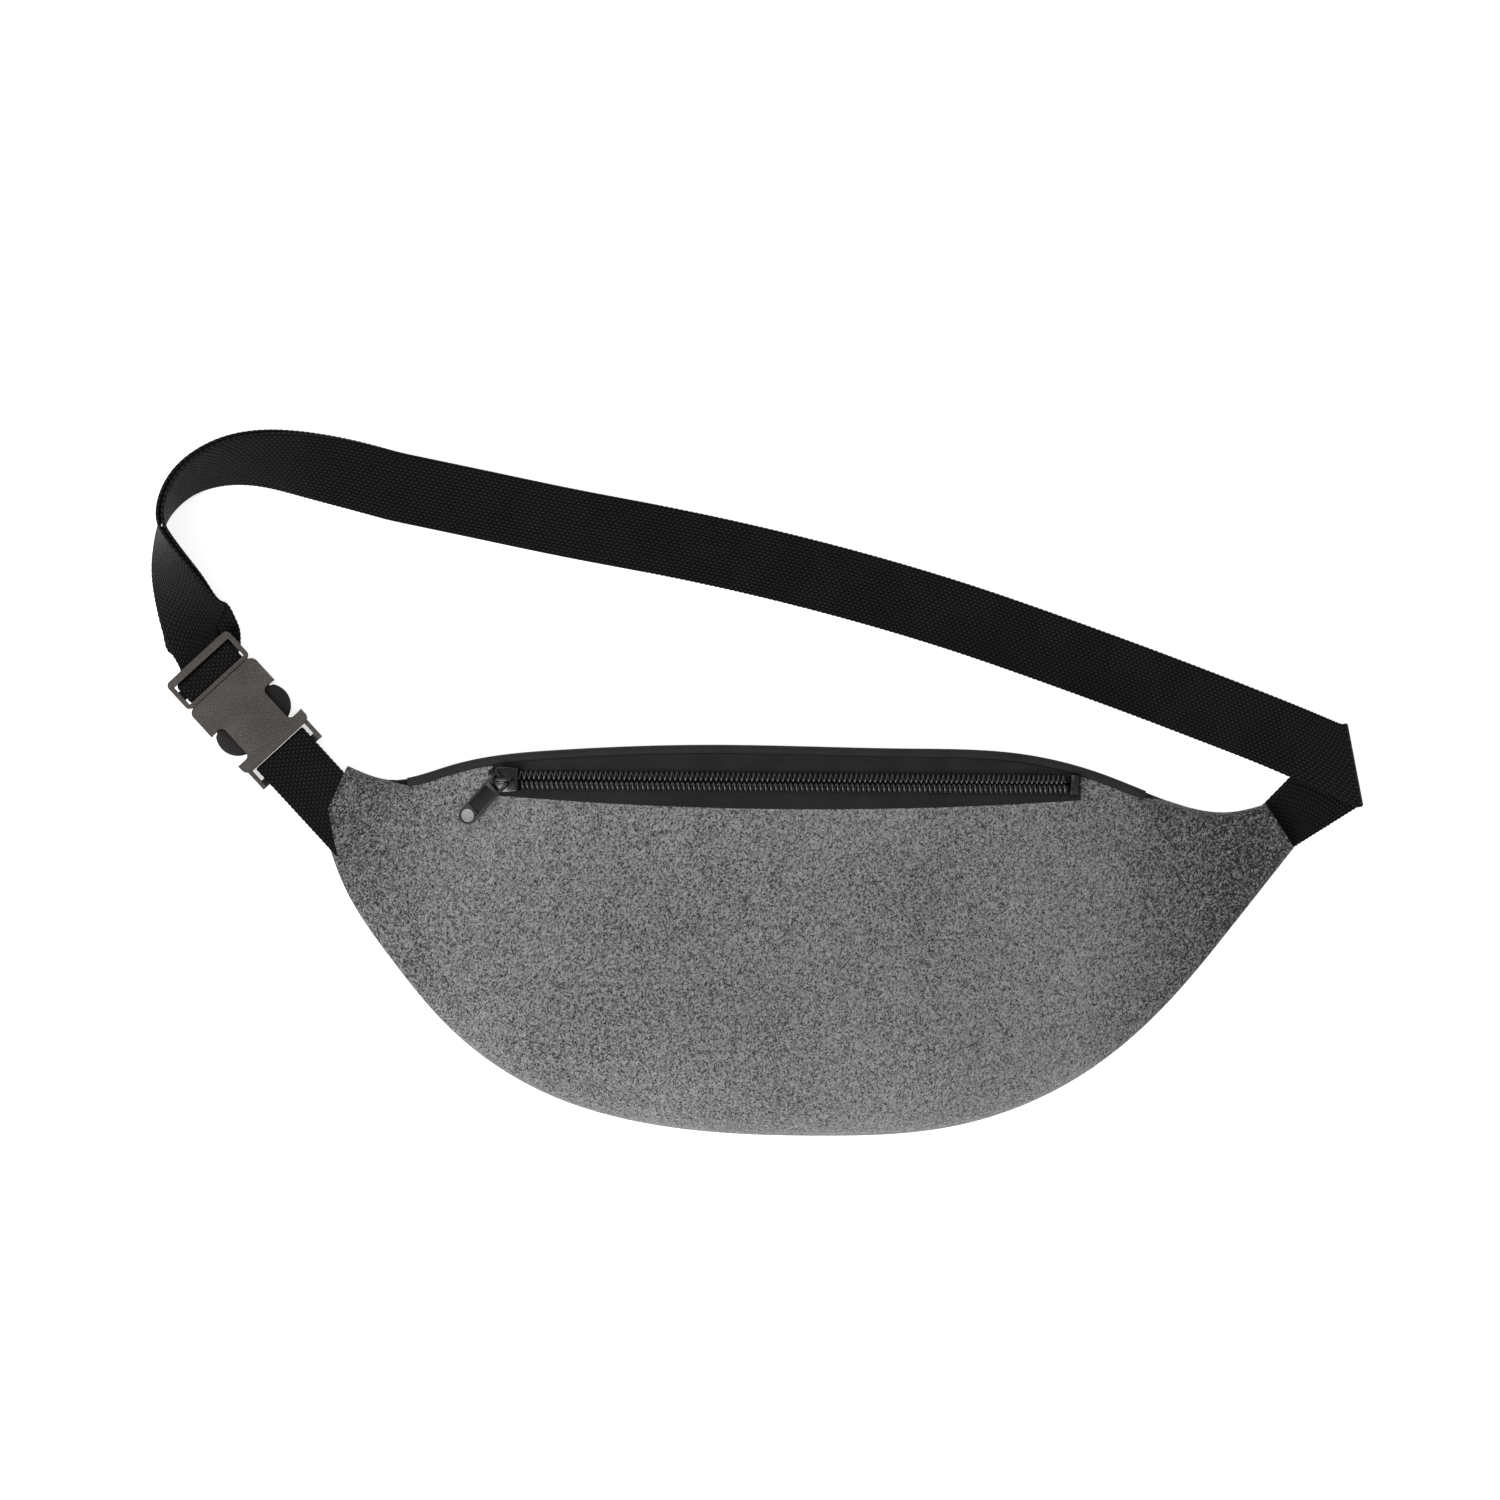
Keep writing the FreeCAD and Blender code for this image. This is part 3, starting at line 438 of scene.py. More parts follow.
@dataclass(frozen=True)
class HerringboneTape(Finish):
    """Zip tape with a fine herringbone."""

    rib: float = 0.62
    column: float = 2.0

    def build(self, r: Recipe) -> None:
        """Slanting ribs that turn back at each column."""
        u, v = r.printed()
        slant = r.sum("PINGPONG", v, self.column)
        height = r.wave(r.sum("ADD", u, slant), self.rib)
        share = r.sum("MULTIPLY", height, r.spread(r.cloudy(90.0), 0.3, 0.7, 0.7, 1.0))
        r.set(Base_Color=r.blend(share, tone(*self.low), tone(*self.high)), Roughness=self.roughness,
              Sheen_Weight=0.01, Sheen_Roughness=0.4, Specular_IOR_Level=0.08)
        r.raised(height, 0.0003)


@dataclass(frozen=True)
class PlainCloth(Finish):
    """Smooth tight cloth with a plain weave and soft creases."""

    thread: float = 0.45
    crease: float = 0.0006
    sheen: float = 0.15

    def build(self, r: Recipe) -> None:
        """Crossed threads, with slow creases below them."""
        parts = r.tree.nodes.new("ShaderNodeSeparateXYZ")
        r.feed(parts.inputs[0], r.coordinates.outputs["Object"])
        size = self.thread / METRE
        level = r.sum("ADD", parts.outputs[1], parts.outputs[2])
        weave = r.sum("MULTIPLY", r.wave(parts.outputs[0], size), r.wave(level, size))
        creases = r.cloudy(70.0, 3.0)
        share = r.sum("ADD", r.sum("MULTIPLY", weave, 0.6), r.sum("MULTIPLY", creases, 0.5))
        r.set(Base_Color=r.blend(share, tone(*self.low), tone(*self.high)), Roughness=self.roughness,
              Sheen_Weight=self.sheen, Sheen_Roughness=0.45, Specular_IOR_Level=0.15)
        height = r.sum("ADD", r.sum("MULTIPLY", weave, 0.15), creases)
        r.raised(height, self.crease, 0.8)


@dataclass(frozen=True)
class SpacerMesh(Finish):
    """Open knitted mesh on foam, for the back."""

    cell: float = 2.6

    def build(self, r: Recipe) -> None:
        """Round holes in rows, with a cord of yarn round each."""
        holes = r.step("TexVoronoi", "Distance", Vector=r.coordinates.outputs["Object"],
                       Scale=METRE / self.cell, Randomness=0.15)
        share = r.spread(holes, 0.12, 0.45, 0.0, 1.0)
        r.set(Base_Color=r.blend(share, tone(*self.low), tone(*self.high)), Roughness=self.roughness,
              Sheen_Weight=0.15, Specular_IOR_Level=0.25)
        r.raised(r.sum("ADD", share, r.sum("MULTIPLY", r.cloudy(2400.0), 0.2)), 0.0006)


@dataclass(frozen=True)
class Moulded(Finish):
    """Moulded plastic with a fine spark-eroded grain."""

    grain: float = 0.35
    depth: float = 0.00003
    coat: float = 0.0
    specular: float = 0.4

    def build(self, r: Recipe) -> None:
        """Grain in the colour, the gloss and the relief, with faint rubbed patches."""
        grain = r.cloudy(METRE / self.grain, 3.0)
        rubbed = r.spread(r.cloudy(120.0, 4.0), 0.35, 0.75, -0.06, 0.06)
        share = r.spread(r.sum("ADD", grain, rubbed), 0.35, 0.65, 0.0, 1.0)
        r.set(Base_Color=r.blend(share, tone(*self.low), tone(*self.high)), Coat_Weight=self.coat,
              Coat_Roughness=0.25, Specular_IOR_Level=self.specular,
              Roughness=r.spread(r.sum("ADD", grain, rubbed), 0.3, 0.7, self.roughness - 0.1,
                                 self.roughness + 0.08))
        r.raised(grain, self.depth, 0.8)


@dataclass(frozen=True)
class Lacquer(Finish):
    """Black lacquer on cast metal, rubbed thin in places."""

    def build(self, r: Recipe) -> None:
        """Gloss with orange-peel relief and rubbed patches."""
        peel, rubbed = r.cloudy(900.0, 2.0), r.cloudy(260.0, 5.0)
        share = r.spread(rubbed, 0.5, 0.8, 0.0, 1.0)
        r.set(Base_Color=r.blend(share, tone(*self.low), tone(*self.high)), Metallic=0.15,
              Coat_Weight=0.3, Coat_Roughness=0.12, Specular_IOR_Level=0.35,
              Roughness=r.spread(rubbed, 0.3, 0.8, self.roughness - 0.08, self.roughness + 0.15))
        r.raised(peel, 0.00003, 0.6)


@dataclass(frozen=True)
class Paper(Finish):
    """The studio's floor, a light table that glows a little."""

    glow: float = 0.62

    def build(self, r: Recipe) -> None:
        """Faint fibres in a pale sheet."""
        r.set(Base_Color=r.blend(r.cloudy(40.0, 4.0), tone(*self.low), tone(*self.high)),
              Roughness=self.roughness, Specular_IOR_Level=0.1, Emission_Color=(1.0, 1.0, 1.0, 1.0),
              Emission_Strength=self.glow)


GREY_CLOTH = HeatherCloth("grey_heather", (24, 24, 25), (138, 138, 139), 0.88)
BLACK_CLOTH = PlainCloth("black_cloth", (16, 16, 16), (46, 46, 47), 0.75, sheen=0.03)
LINING_CLOTH = PlainCloth("lining_cloth", (44, 45, 48), (70, 71, 75), 0.8)
BACK_MESH = SpacerMesh("back_mesh", (10, 10, 11), (44, 44, 46), 0.85)
BELT_WEB = Webbing("belt_webbing", (2, 2, 2), (35, 31, 31), 0.6)
TAPE_WEAVE = HerringboneTape("herringbone_tape", (2, 2, 2), (54, 54, 54), 0.8)
NYLON = Moulded("coil_nylon", (16, 16, 16), (30, 30, 30), 0.3, grain=0.8, coat=0.3, specular=0.6)
LACQUER = Lacquer("slider_lacquer", (9, 9, 9), (46, 46, 46), 0.22)
PULL_FINISH = Moulded("pull_satin", (14, 14, 14), (23, 23, 23), 0.5, grain=0.5, specular=0.25)
# painted reflection: the disc's light grey stands in for light reflected off its shiny dished recess; only its
# satin gloss is real
DISC_REFLECTION_FINISH = Moulded("pull_disc_painted_reflection", (96, 96, 96), (128, 128, 128), 0.5, grain=0.4)
BUCKLE_FINISH = Moulded("buckle_acetal", (50, 46, 43), (76, 71, 67), 0.58, grain=0.6, depth=0.00006,
                        specular=0.25)
PRONG_FINISH = Moulded("prong_acetal", (18, 16, 15), (32, 29, 27), 0.45, grain=0.45, specular=0.2)
THREAD = PlainCloth("black_thread", (20, 20, 20), (44, 44, 44), 0.6, thread=0.2)
FLOOR_PAPER = Paper("floor_paper", (238, 238, 238), (242, 242, 242), 0.9)


# --- making a piece -----------------------------------------------------------------------------
@dataclass(frozen=True)
class Piece:
    """Where a finished mesh belongs."""

    name: str
    body: Body
    finish: Finish
    slot: str
    replaces: tuple[str, ...] = ()
    sharp: float = 40.0         # degrees past which an edge stays crisp

    def make(self, bm: bmesh.types.BMesh, ride: bool = True) -> bpy.types.Object:
        """Turns a mesh in millimetres into a piece of the object.

        Args:
            bm: the mesh, which is used up.
            ride: False for a piece that lies between two bodies and is attached to neither.

        Returns:
            The new object, at the origin.
        """
        bmesh.ops.scale(bm, vec=(1 / METRE,) * 3, verts=bm.verts)
        mesh = bpy.data.meshes.new(self.name)
        bm.to_mesh(mesh)
        bm.free()
        mesh.shade_smooth()
        mesh.set_sharp_from_angle(angle=math.radians(self.sharp))
        mesh.materials.append(self.finish.material())
        piece = bpy.data.objects.new(self.name, mesh)
        bpy.context.scene.collection.objects.link(piece)
        if ride:
            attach(piece, self.body.value)
        if self.replaces:
            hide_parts(*self.replaces)
        mesh.calc_loop_triangles()
        log.info("%s: %d triangles", self.name, len(mesh.loop_triangles))
        return piece


# --- the bag ------------------------------------------------------------------------------------
@dataclass
class Form:
    """The bag's outline, heights and zip band, which all its pieces share."""

    length: float = 364.0
    height: float = 146.0
    crest: float = 34.0
    end_rise: float = 7.0
    shoulder: float = 46.0
    fullness: float = 2.3
    seam: float = 2.85
    roll: float = 3.4
    roll_from: float = -150.0
    roll_to: float = 126.0
    zip_x: float = -8.0
    zip_y: float = 59.6
    zip_turn: float = -0.5
    zip_radius: float = 400.0
    half_zip: float = 110.5
    lower_shows: float = 9.2
    lower_ends: float = 5.0
    bottom: tuple = ((-1.0, 0.605), (-0.955, 0.28), (-0.862, -0.08), (-0.738, -0.446), (-0.55, -0.77),
                     (-0.305, -0.948), (0.02, -1.0), (0.313, -0.944), (0.562, -0.69), (0.744, -0.307),
                     (0.87, 0.067), (1.0, 0.478))
    top: tuple = ((-0.947, 0.904), (-0.862, 0.833), (-0.738, 0.9), (-0.52, 0.98), (-0.214, 1.007),
                  (0.2, 0.988), (0.439, 0.96), (0.6, 0.862), (0.72, 0.745), (0.87, 0.667), (0.942, 0.707))

    def edge(self, shares: tuple, count: int) -> np.ndarray:
        """Points along the bottom or the top edge, in plan."""
        return smooth_line([(x * self.length / 2, y * self.height / 2, 0.0) for x, y in shares], count)

    def top_line(self, inset: float, count: int = 240) -> np.ndarray:
        """The top edge, drawn in towards the bag's middle."""
        line = self.edge(self.top, count)
        return line - across(line) * inset

    def band_height(self, x: float) -> float:
        """Height of the zip's cylinder."""
        return self.crest - self.zip_radius + math.sqrt(self.zip_radius ** 2 - (x - self.zip_x) ** 2)

    def top_height(self, x: float) -> float:
        """Height of the front's flat part: the zip's cylinder, eased down to the end seams."""
        off = x - self.zip_x
        if abs(off) <= self.half_zip:
            return self.band_height(x)
        side = math.copysign(1, off)
        reach = self.length / 2 - side * self.zip_x - self.half_zip
        start = self.band_height(self.zip_x + side * self.half_zip)
        slope = -self.half_zip / math.sqrt(self.zip_radius ** 2 - self.half_zip ** 2) * reach
        t = min((abs(off) - self.half_zip) / reach, 1.0)
        ease = (2 * t ** 3 - 3 * t ** 2 + 1) * start + (t ** 3 - 2 * t ** 2 + t) * slope
        return ease + (3 * t ** 2 - 2 * t ** 3) * self.end_rise

    def on_zip(self, s: float, y: float, z: float) -> np.ndarray:
        """A point on the zip's band: along, across and above the tapes' underside."""
        angle, r = s / self.zip_radius, self.zip_radius + z
        x, turn = r * math.sin(angle), math.radians(self.zip_turn)
        return np.array([self.zip_x + x * math.cos(turn) - y * math.sin(turn),
                         self.zip_y + x * math.sin(turn) + y * math.cos(turn),
                         self.crest - self.zip_radius + r * math.cos(angle)])

    def opening(self, s: float) -> float:
        """How far below the zip's middle line the front panel starts."""
        return self.lower_ends + (self.lower_shows - self.lower_ends) * (1 - (s / self.half_zip) ** 2)

    def roll_side(self, s: float, inset: float, line: np.ndarray) -> float:
        """How far above the zip's middle line the rolled edge starts."""
        x = self.zip_x + s
        edge = float(np.interp(x, line[:, 0], line[:, 1]))
        return edge - inset - self.zip_y + math.radians(-self.zip_turn) * s


@dataclass
class FrontPanel:
    """The padded front: one crowned panel with a turned-under edge round the zip."""

    form: Form
    along: int = 250
    wide: int = 76
    cloth: float = 2.1
    hem: float = 1.0
    cut_from: float = 8.0       # heights between which the zip's opening is cut
    cut_to: float = 68.0
    # each dent or bulge: its middle, its reach along and across, and how far it stands off
    dents: tuple = ((140.0, 36.0, 24.0, 30.0, -2.2), (-130.0, 28.0, 16.0, 40.0, -0.9),
                    (92.0, -18.0, 40.0, 18.0, -0.8), (-96.0, 2.0, 24.0, 34.0, 0.9),
                    (168.0, 52.0, 9.0, 26.0, -1.0))

    def closing(self, x: float) -> float:
        """0 where the panel's top edge meets the roll, 1 where it is sewn down to the back."""
        past = max(self.form.roll_from - x, x - self.form.roll_to, -4.0) + 4.0
        t = min(past / 14.0, 1.0)
        return t * t * (3 - 2 * t)

    def sag(self, x: float, y: float, run: float) -> float:
        """How far the cloth lies off its smooth form, in millimetres."""
        slow = noise.noise(Vector((x / 46, y / 34, 0.4))) * 0.9
        slow += noise.noise(Vector((x / 17, y / 15, 3.1))) * 0.25
        for cx, cy, wide, high, depth in self.dents:
            slow += depth * math.exp(-((x - cx) / wide) ** 2 - ((y - cy) / high) ** 2)
        ripple = math.sin(x / 3.1 + 2 * noise.noise(Vector((x / 30, 0, 9))))
        pucker = 0.3 * ripple * math.exp(-((run - 6) / 6) ** 2)
        return (slow + pucker) * min(run / 16, 1.0)

    def rows(self) -> np.ndarray:
        """Grid of points over the outer side of the panel."""
        form = self.form
        low = form.edge(form.bottom, self.along + 1)
        line = form.edge(form.top, self.along + 1)
        inset = np.array([0.3 + (form.roll - 0.2) * (1 - self.closing(p[0])) for p in line])
        high = line - across(line) * inset[:, None]
        points = np.zeros((self.along + 1, self.wide + 1, 3))
        for i, (start, end) in enumerate(zip(low, high)):
            long = float(np.linalg.norm(end - start))
            reach, close = min(form.shoulder, 0.62 * long), self.closing(end[0])
            for j in range(self.wide + 1):
                share = (j / self.wide) ** 1.7
                run = share * long
                place = start + (end - start) * share
                rise = (1 - (1 - min(run / reach, 1.0)) ** form.fullness) ** (1 / form.fullness)
                left = min((long - run) / (0.34 * long), 1.0)
                fall = (1 - (1 - left) ** 2.2) ** (1 / 2.2)
                full = rise * (1 - close + close * fall)
                top = form.top_height(place[0]) - form.seam
                off = self.sag(place[0], place[1], run) * min((long - run) / 14, 1.0)
                points[i, j] = place[0], place[1], form.seam - 0.2 + (top + 0.2) * full + off * full
        return points

    def hem_line(self) -> np.ndarray:
        """Middle of the turned-under edge round the zip's opening."""
        form, out = self.form, self.hem * 0.85
        side = form.half_zip + out
        line = form.top_line(form.roll + 0.25)
        upper = [form.roll_side(s, 1.2, line) for s in (-side, side)]
        run = [(-side, y) for y in np.linspace(upper[0], 1.0 - form.lower_ends, 5)]
        run += [(s, -form.opening(s) - out) for s in np.linspace(-side + 3.5, side - 3.5, 21)]
        run += [(side, y) for y in np.linspace(1.0 - form.lower_ends, upper[1], 5)]
        return smooth_line([form.on_zip(s, y, -0.25) for s, y in run], 420)

    def build(self) -> None:
        """Makes the panel with its opening cut, and the hem."""
        form, points = self.form, self.rows()
        bm = grid(self.along, self.wide, lambda i, j: points[i, j], lambda i, j: tuple(points[i, j, :2]))
        if sum(f.normal.z for f in bm.faces) < 0:
            bmesh.ops.reverse_faces(bm, faces=bm.faces)
        bmesh.ops.solidify(bm, geom=bm.faces, thickness=self.cloth)
        piece = Piece("front_panel_padded", Body.BAG, GREY_CLOTH, "grey_fabric", ("front_panel",),
                      60.0).make(bm)
        cutter = self.cutter()
        cut = piece.modifiers.new("opening", "BOOLEAN")
        cut.object, cut.operation, cut.solver = cutter, "DIFFERENCE", "EXACT"
        done = bpy.data.meshes.new_from_object(piece.evaluated_get(bpy.context.evaluated_depsgraph_get()))
        piece.modifiers.clear()
        piece.data = done
        bpy.data.objects.remove(cutter)
        hem = Piece("zip_opening_hem", Body.BAG, GREY_CLOTH, "grey_fabric").make(
            wire(self.hem_line(), self.hem, 3))

    def cutter(self) -> bpy.types.Object:
        """A solid that fills the zip's opening."""
        form, half = self.form, self.form.half_zip
        ring = [form.on_zip(s, -form.opening(s), 0) for s in np.linspace(-half, half, 41)]
        ring += [form.on_zip(s, 40, 0) for s in (half, -half)]
        bm = plate(ring, self.cut_from, self.cut_to)
        bmesh.ops.scale(bm, vec=(1 / METRE,) * 3, verts=bm.verts)
        mesh = bpy.data.meshes.new("cutter")
        bm.to_mesh(mesh)
        bm.free()
        cutter = bpy.data.objects.new("cutter", mesh)
        bpy.context.scene.collection.objects.link(cutter)
        return cutter


@dataclass
class BackAndTop:
    """The back panel, its lining and binding, the wall behind the zip and the roll on it."""

    form: Form
    back: float = 2.6
    wall: float = 1.8

    def slab(self, inset: float, low: float, high: float, ease: float) -> bmesh.types.BMesh:
        """A flat padded layer inside the bag's outline."""
        form = self.form
        lower, upper = form.edge(form.bottom, 90), form.edge(form.top, 90)
        lower, upper = lower + across(lower) * inset, upper - across(upper) * inset
        end = int(inset / 4)
        ring = np.concatenate([lower[end:len(lower) - end], upper[end:len(upper) - end][::-1]])
        bm = plate(ring, low, high)
        soften(bm, [e for e in bm.edges if abs(e.verts[0].co.z - e.verts[1].co.z) < 0.01], ease)
        return bm

    def build(self) -> None:
        """Makes all of them."""
        form = self.form
        panel = Piece("back_panel_mesh", Body.BAG, BACK_MESH, "black_fabric", ("back_panel",)).make(
            self.slab(0.4, 0.0, self.back, 0.9))
        lining = Piece("lining_sheet", Body.BAG, LINING_CLOTH, "lining", ("back_lining",)).make(
            self.slab(8.0, self.back + 0.25, self.back + 0.95, 0.3))
        line = form.top_line(form.roll / 2)
        line = evened(line[(line[:, 0] >= form.roll_from) & (line[:, 0] <= form.roll_to)], 220)
        self.roll(line)
        self.gusset(line)
        self.binding()

    def roll(self, line: np.ndarray) -> None:
        """The rolled edge, slightly uneven by hand, with its row of stitches."""
        form = self.form
        uneven = [0.15 * noise.noise(Vector((x / 12, 0, 0))) for x in line[:, 0]]
        middle = np.array([(x, y, form.top_height(x) - form.roll / 2 + 1.4 + wavy)
                           for (x, y, _), wavy in zip(line, uneven)])
        roll = Piece("rolled_edge", Body.BAG, BLACK_CLOTH, "black_fabric", ("top_edge_roll",)).make(
            wire(middle, form.roll / 2, 5))
        seam = middle - across(middle) * 1.1 + np.array([0.0, 0.0, form.roll / 2 - 0.42])
        Piece("rolled_edge_stitches", Body.BAG, THREAD, "black_fabric").make(
            stitches(evened(seam, 190), 2.3, 0.5))

    def gusset(self, line: np.ndarray) -> None:
        """The wall between the back panel and the roll, bowed out a little."""
        form, side = self.form, across(line)
        high = 10

        def place(i: int, j: int) -> tuple[float, float, float]:
            """A point of the wall's middle."""
            x, y, _ = line[i]
            share = j / high
            bow = side[i] * 0.5 * math.sin(math.pi * share)
            top = form.top_height(x) - form.roll + 1.1
            return (x + bow[0], y + bow[1], form.seam + (top - form.seam) * share)

        bm = grid(len(line) - 1, high, place, lambda i, j: (i * 1.3, j * 3.0))
        bmesh.ops.solidify(bm, geom=bm.faces, thickness=self.wall * 0.7)
        wall = Piece("gusset_wall", Body.BAG, BLACK_CLOTH, "black_fabric", ("top_gusset",)).make(bm)

    def binding(self) -> None:
        """The tape over the raw edges inside the bottom seam."""
        line = self.form.edge(self.form.bottom, 240)
        line = (line + across(line) * 14.0)[50:-50]
        floor = self.back + 1.2
        edges = np.concatenate([line + [0, 0, floor], line + [0, 0, floor + 5.0]], axis=1)
        piece = Piece("seam_binding_tape", Body.BAG, BELT_WEB, "webbing", ("seam_binding",))
        Strip(edges, 5.0, 1.2, 0.0).make(piece)


@dataclass
class Zip:
    """Two tapes with a coil each, their stitches and the end stops."""

    form: Form
    tape: float = 0.8
    reach: float = 3.7
    tip: float = -0.25
    pitch: float = 1.9
    wire_radius: float = 0.45
    coil_from: float = -101.9
    coil_to: float = 106.2

    def tape_sheet(self, side: int) -> bmesh.types.BMesh:
        """One tape, from beside the coil's middle to its sewn edge."""
        form, half = self.form, self.form.half_zip
        line = form.top_line(0.0)
        long, wide = 150, 6

        def place(i: int, j: int) -> np.ndarray:
            """A point of the tape's underside."""
            s = -half - 0.5 + (2 * half + 1.0) * i / long
            outer = form.roll_side(s, form.roll - 0.1, line) if side > 0 else form.opening(s) + 0.8
            return form.on_zip(s, side * (0.6 + (outer - 0.6) * j / wide), 0.0)

        bm = grid(long, wide, place, lambda i, j: (2 * half * i / long, 12.0 * j / wide))
        if sum(f.normal.z for f in bm.faces) > 0:
            bmesh.ops.reverse_faces(bm, faces=bm.faces)
        bmesh.ops.solidify(bm, geom=bm.faces, thickness=self.tape)
        bmesh.ops.recalc_face_normals(bm, faces=bm.faces)
        uv = bm.loops.layers.uv.active
        for face in bm.faces:
            for loop in face.loops:
                loop[uv].uv = loop.vert.co.xy
        return bm

    def coil(self, side: int) -> bmesh.types.BMesh:
        """One row of the coil: a flattened helix whose turns lean over."""
        turns = int((self.coil_to - self.coil_from) / self.pitch) - 1
        middle, half = (self.reach + self.tip) / 2, (self.reach - self.tip) / 2 - self.wire_radius
        start = self.coil_from + self.pitch * (0.75 if side > 0 else 1.25)
        points = []
        for k in range(turns * 12):
            angle = 2 * math.pi * k / 12
            s = start + self.pitch * k / 12
            y = side * (middle - half * math.cos(angle))
            points.append(self.form.on_zip(s, y, self.tape + 1.05 + 0.66 * math.sin(angle)))
        return wire(np.array(points), self.wire_radius, 1)

    def build(self) -> None:
        """Makes both sides and their stitches."""
        places = np.arange(self.coil_from, self.coil_to, 0.95)
        for side, name in ((1, "upper"), (-1, "lower")):
            tape = Piece("tape_" + name, Body.BAG, TAPE_WEAVE, "zip_tape", ("zip_tape_" + name,)).make(
                self.tape_sheet(side))
            Piece("coil_" + name, Body.BAG, NYLON, "zip_coil", ("zip_coil_" + name,), 80.0).make(
                self.coil(side))
            row = [self.form.on_zip(s, side * 4.35, self.tape + 0.05) for s in places]
            Piece("coil_stitches_" + name, Body.BAG, THREAD, "zip_tape").make(
                stitches(np.array(row), 1.5, 0.4))
        for node, name in (("zip_bottom_stop", "bottom_stop"), ("zip_top_stop", "top_stop")):
            Piece(name + "_crimped", Body.BAG, LACQUER, "zip_metal", (node,)).make(eased(node, 0.22))


@dataclass
class Slider:
    """The slider, its bail and the pull with its disc."""

    form: Form
    place: float = -105.07      # along the zip
    long: float = 4.8
    wide: float = 4.8
    wall: float = 1.2
    top: float = 4.35
    under: float = -0.3
    bail: float = 2.7           # from the slider's middle to each leg
    bail_rise: float = 2.9
    pull: tuple[float, float, float] = (-0.979, 0.63, 5.8)
    heading: float = 226.0
    droop: float = 6.0
    disc_at: float = 19.6
    disc: float = 2.5

    def slab(self, outline: Sequence[tuple[float, float]], low: float, high: float,
             ease: float) -> bmesh.types.BMesh:
        """A plate over an outline, with every edge eased, in the slider's own directions."""
        bm = plate(outline, low, high)
        soften(bm, bm.edges[:], ease)
        return bm

    def shield(self, share: float) -> list[tuple[float, float]]:
        """The slider's plan: broad shoulders where the rows part, narrower where they leave joined."""
        a, w = self.long, self.wide * share
        half = [(-a, 0.35 * w), (-0.92 * a, 0.72 * w), *self.flank(w)]
        return half + [(x, -y) for x, y in reversed(half)]

    def flank(self, w: float) -> list[tuple[float, float]]:
        """The slider's side in plan, from its shoulder to its narrow end."""
        a = self.long
        return [(-0.7 * a, 0.94 * w), (-0.3 * a, w), (0.2 * a, 0.97 * w), (0.75 * a, 0.9 * w), (a, 0.84 * w)]

    def carried(self, bm: bmesh.types.BMesh) -> bmesh.types.BMesh:
        """Moves a shape from the slider's own directions to its place on the zip."""
        for v in bm.verts:
            v.co = self.form.on_zip(self.place + v.co.x, v.co.y, v.co.z)
        return bm

    def cast(self) -> bmesh.types.BMesh:
        """Two plates, the neck between them and a flange down each side of the coil."""
        w, a, flange = self.wide, self.long, 0.75
        parts = [self.slab(self.shield(1.0), self.top - self.wall, self.top, 0.42),
                 self.slab(self.shield(1.0), self.under - self.wall, self.under, 0.3),
                 self.slab([(-a, -0.2), (-a, 0.2), (3.0 - a, 0.2), (3.0 - a, -0.2)], self.under - 0.6,
                           self.top - 0.5, 0.1)]
        for side in (1, -1):
            run = self.flank(w)
            ring = [(x, side * y) for x, y in run] + [(x, side * (y - flange)) for x, y in reversed(run)]
            parts.append(self.slab(ring, 1.15, self.top - 0.5, 0.15))
        ridge = [(-0.5 * a, -1.3), (-0.5 * a, 1.3), (0.5 * a, 1.0), (0.5 * a, -1.0)]
        parts.append(self.slab(ridge, self.top - 0.3, self.top + 0.22, 0.2))
        return self.carried(joined(parts))

    def bail_line(self) -> np.ndarray:
        """Middle line of the bail's wire."""
        foot, crown, r = self.top - 0.6, self.top + self.bail_rise, 1.1
        half = [(-self.bail, foot), (-self.bail, crown - r)]
        bends = np.radians((22, 45, 68, 90))
        half += [(-self.bail + r - r * math.cos(t), crown - r + r * math.sin(t)) for t in bends]
        line = half + [(-x, z) for x, z in reversed(half)]
        return np.array([self.form.on_zip(self.place + x, 0.0, z) for x, z in line])

    def disc_mesh(self) -> bmesh.types.BMesh:
        """The pull's inlaid disc, dished towards its middle."""
        bm = bmesh.new()
        bmesh.ops.create_circle(bm, cap_ends=True, segments=40, radius=self.disc)
        for inset, depth in ((0.35, 0.0), (0.5, -0.1), (0.6, -0.06)):
            middle = max(bm.faces, key=lambda f: len(f.verts))
            bmesh.ops.inset_region(bm, faces=[middle], thickness=inset, depth=depth, use_boundary=True,
                                   use_even_offset=True)
        bmesh.ops.solidify(bm, geom=bm.faces, thickness=0.12)
        bmesh.ops.recalc_face_normals(bm, faces=bm.faces)
        bmesh.ops.translate(bm, vec=(self.disc_at, 0.0, 0.48), verts=bm.verts)
        heading, droop = math.radians(self.heading), math.radians(self.droop)
        turn = Matrix.Rotation(heading, 4, "Z") @ Matrix.Rotation(droop, 4, "Y")
        form = self.form
        axis = Matrix.Translation((form.zip_x, form.zip_y, form.crest - form.zip_radius))
        along = Matrix.Rotation(self.place / form.zip_radius, 4, "Y")
        along = along @ Matrix.Translation((0, 0, form.zip_radius))
        zipped = axis @ Matrix.Rotation(math.radians(form.zip_turn), 4, "Z") @ along
        bm.transform(zipped @ Matrix.Translation(self.pull) @ turn)
        return bm

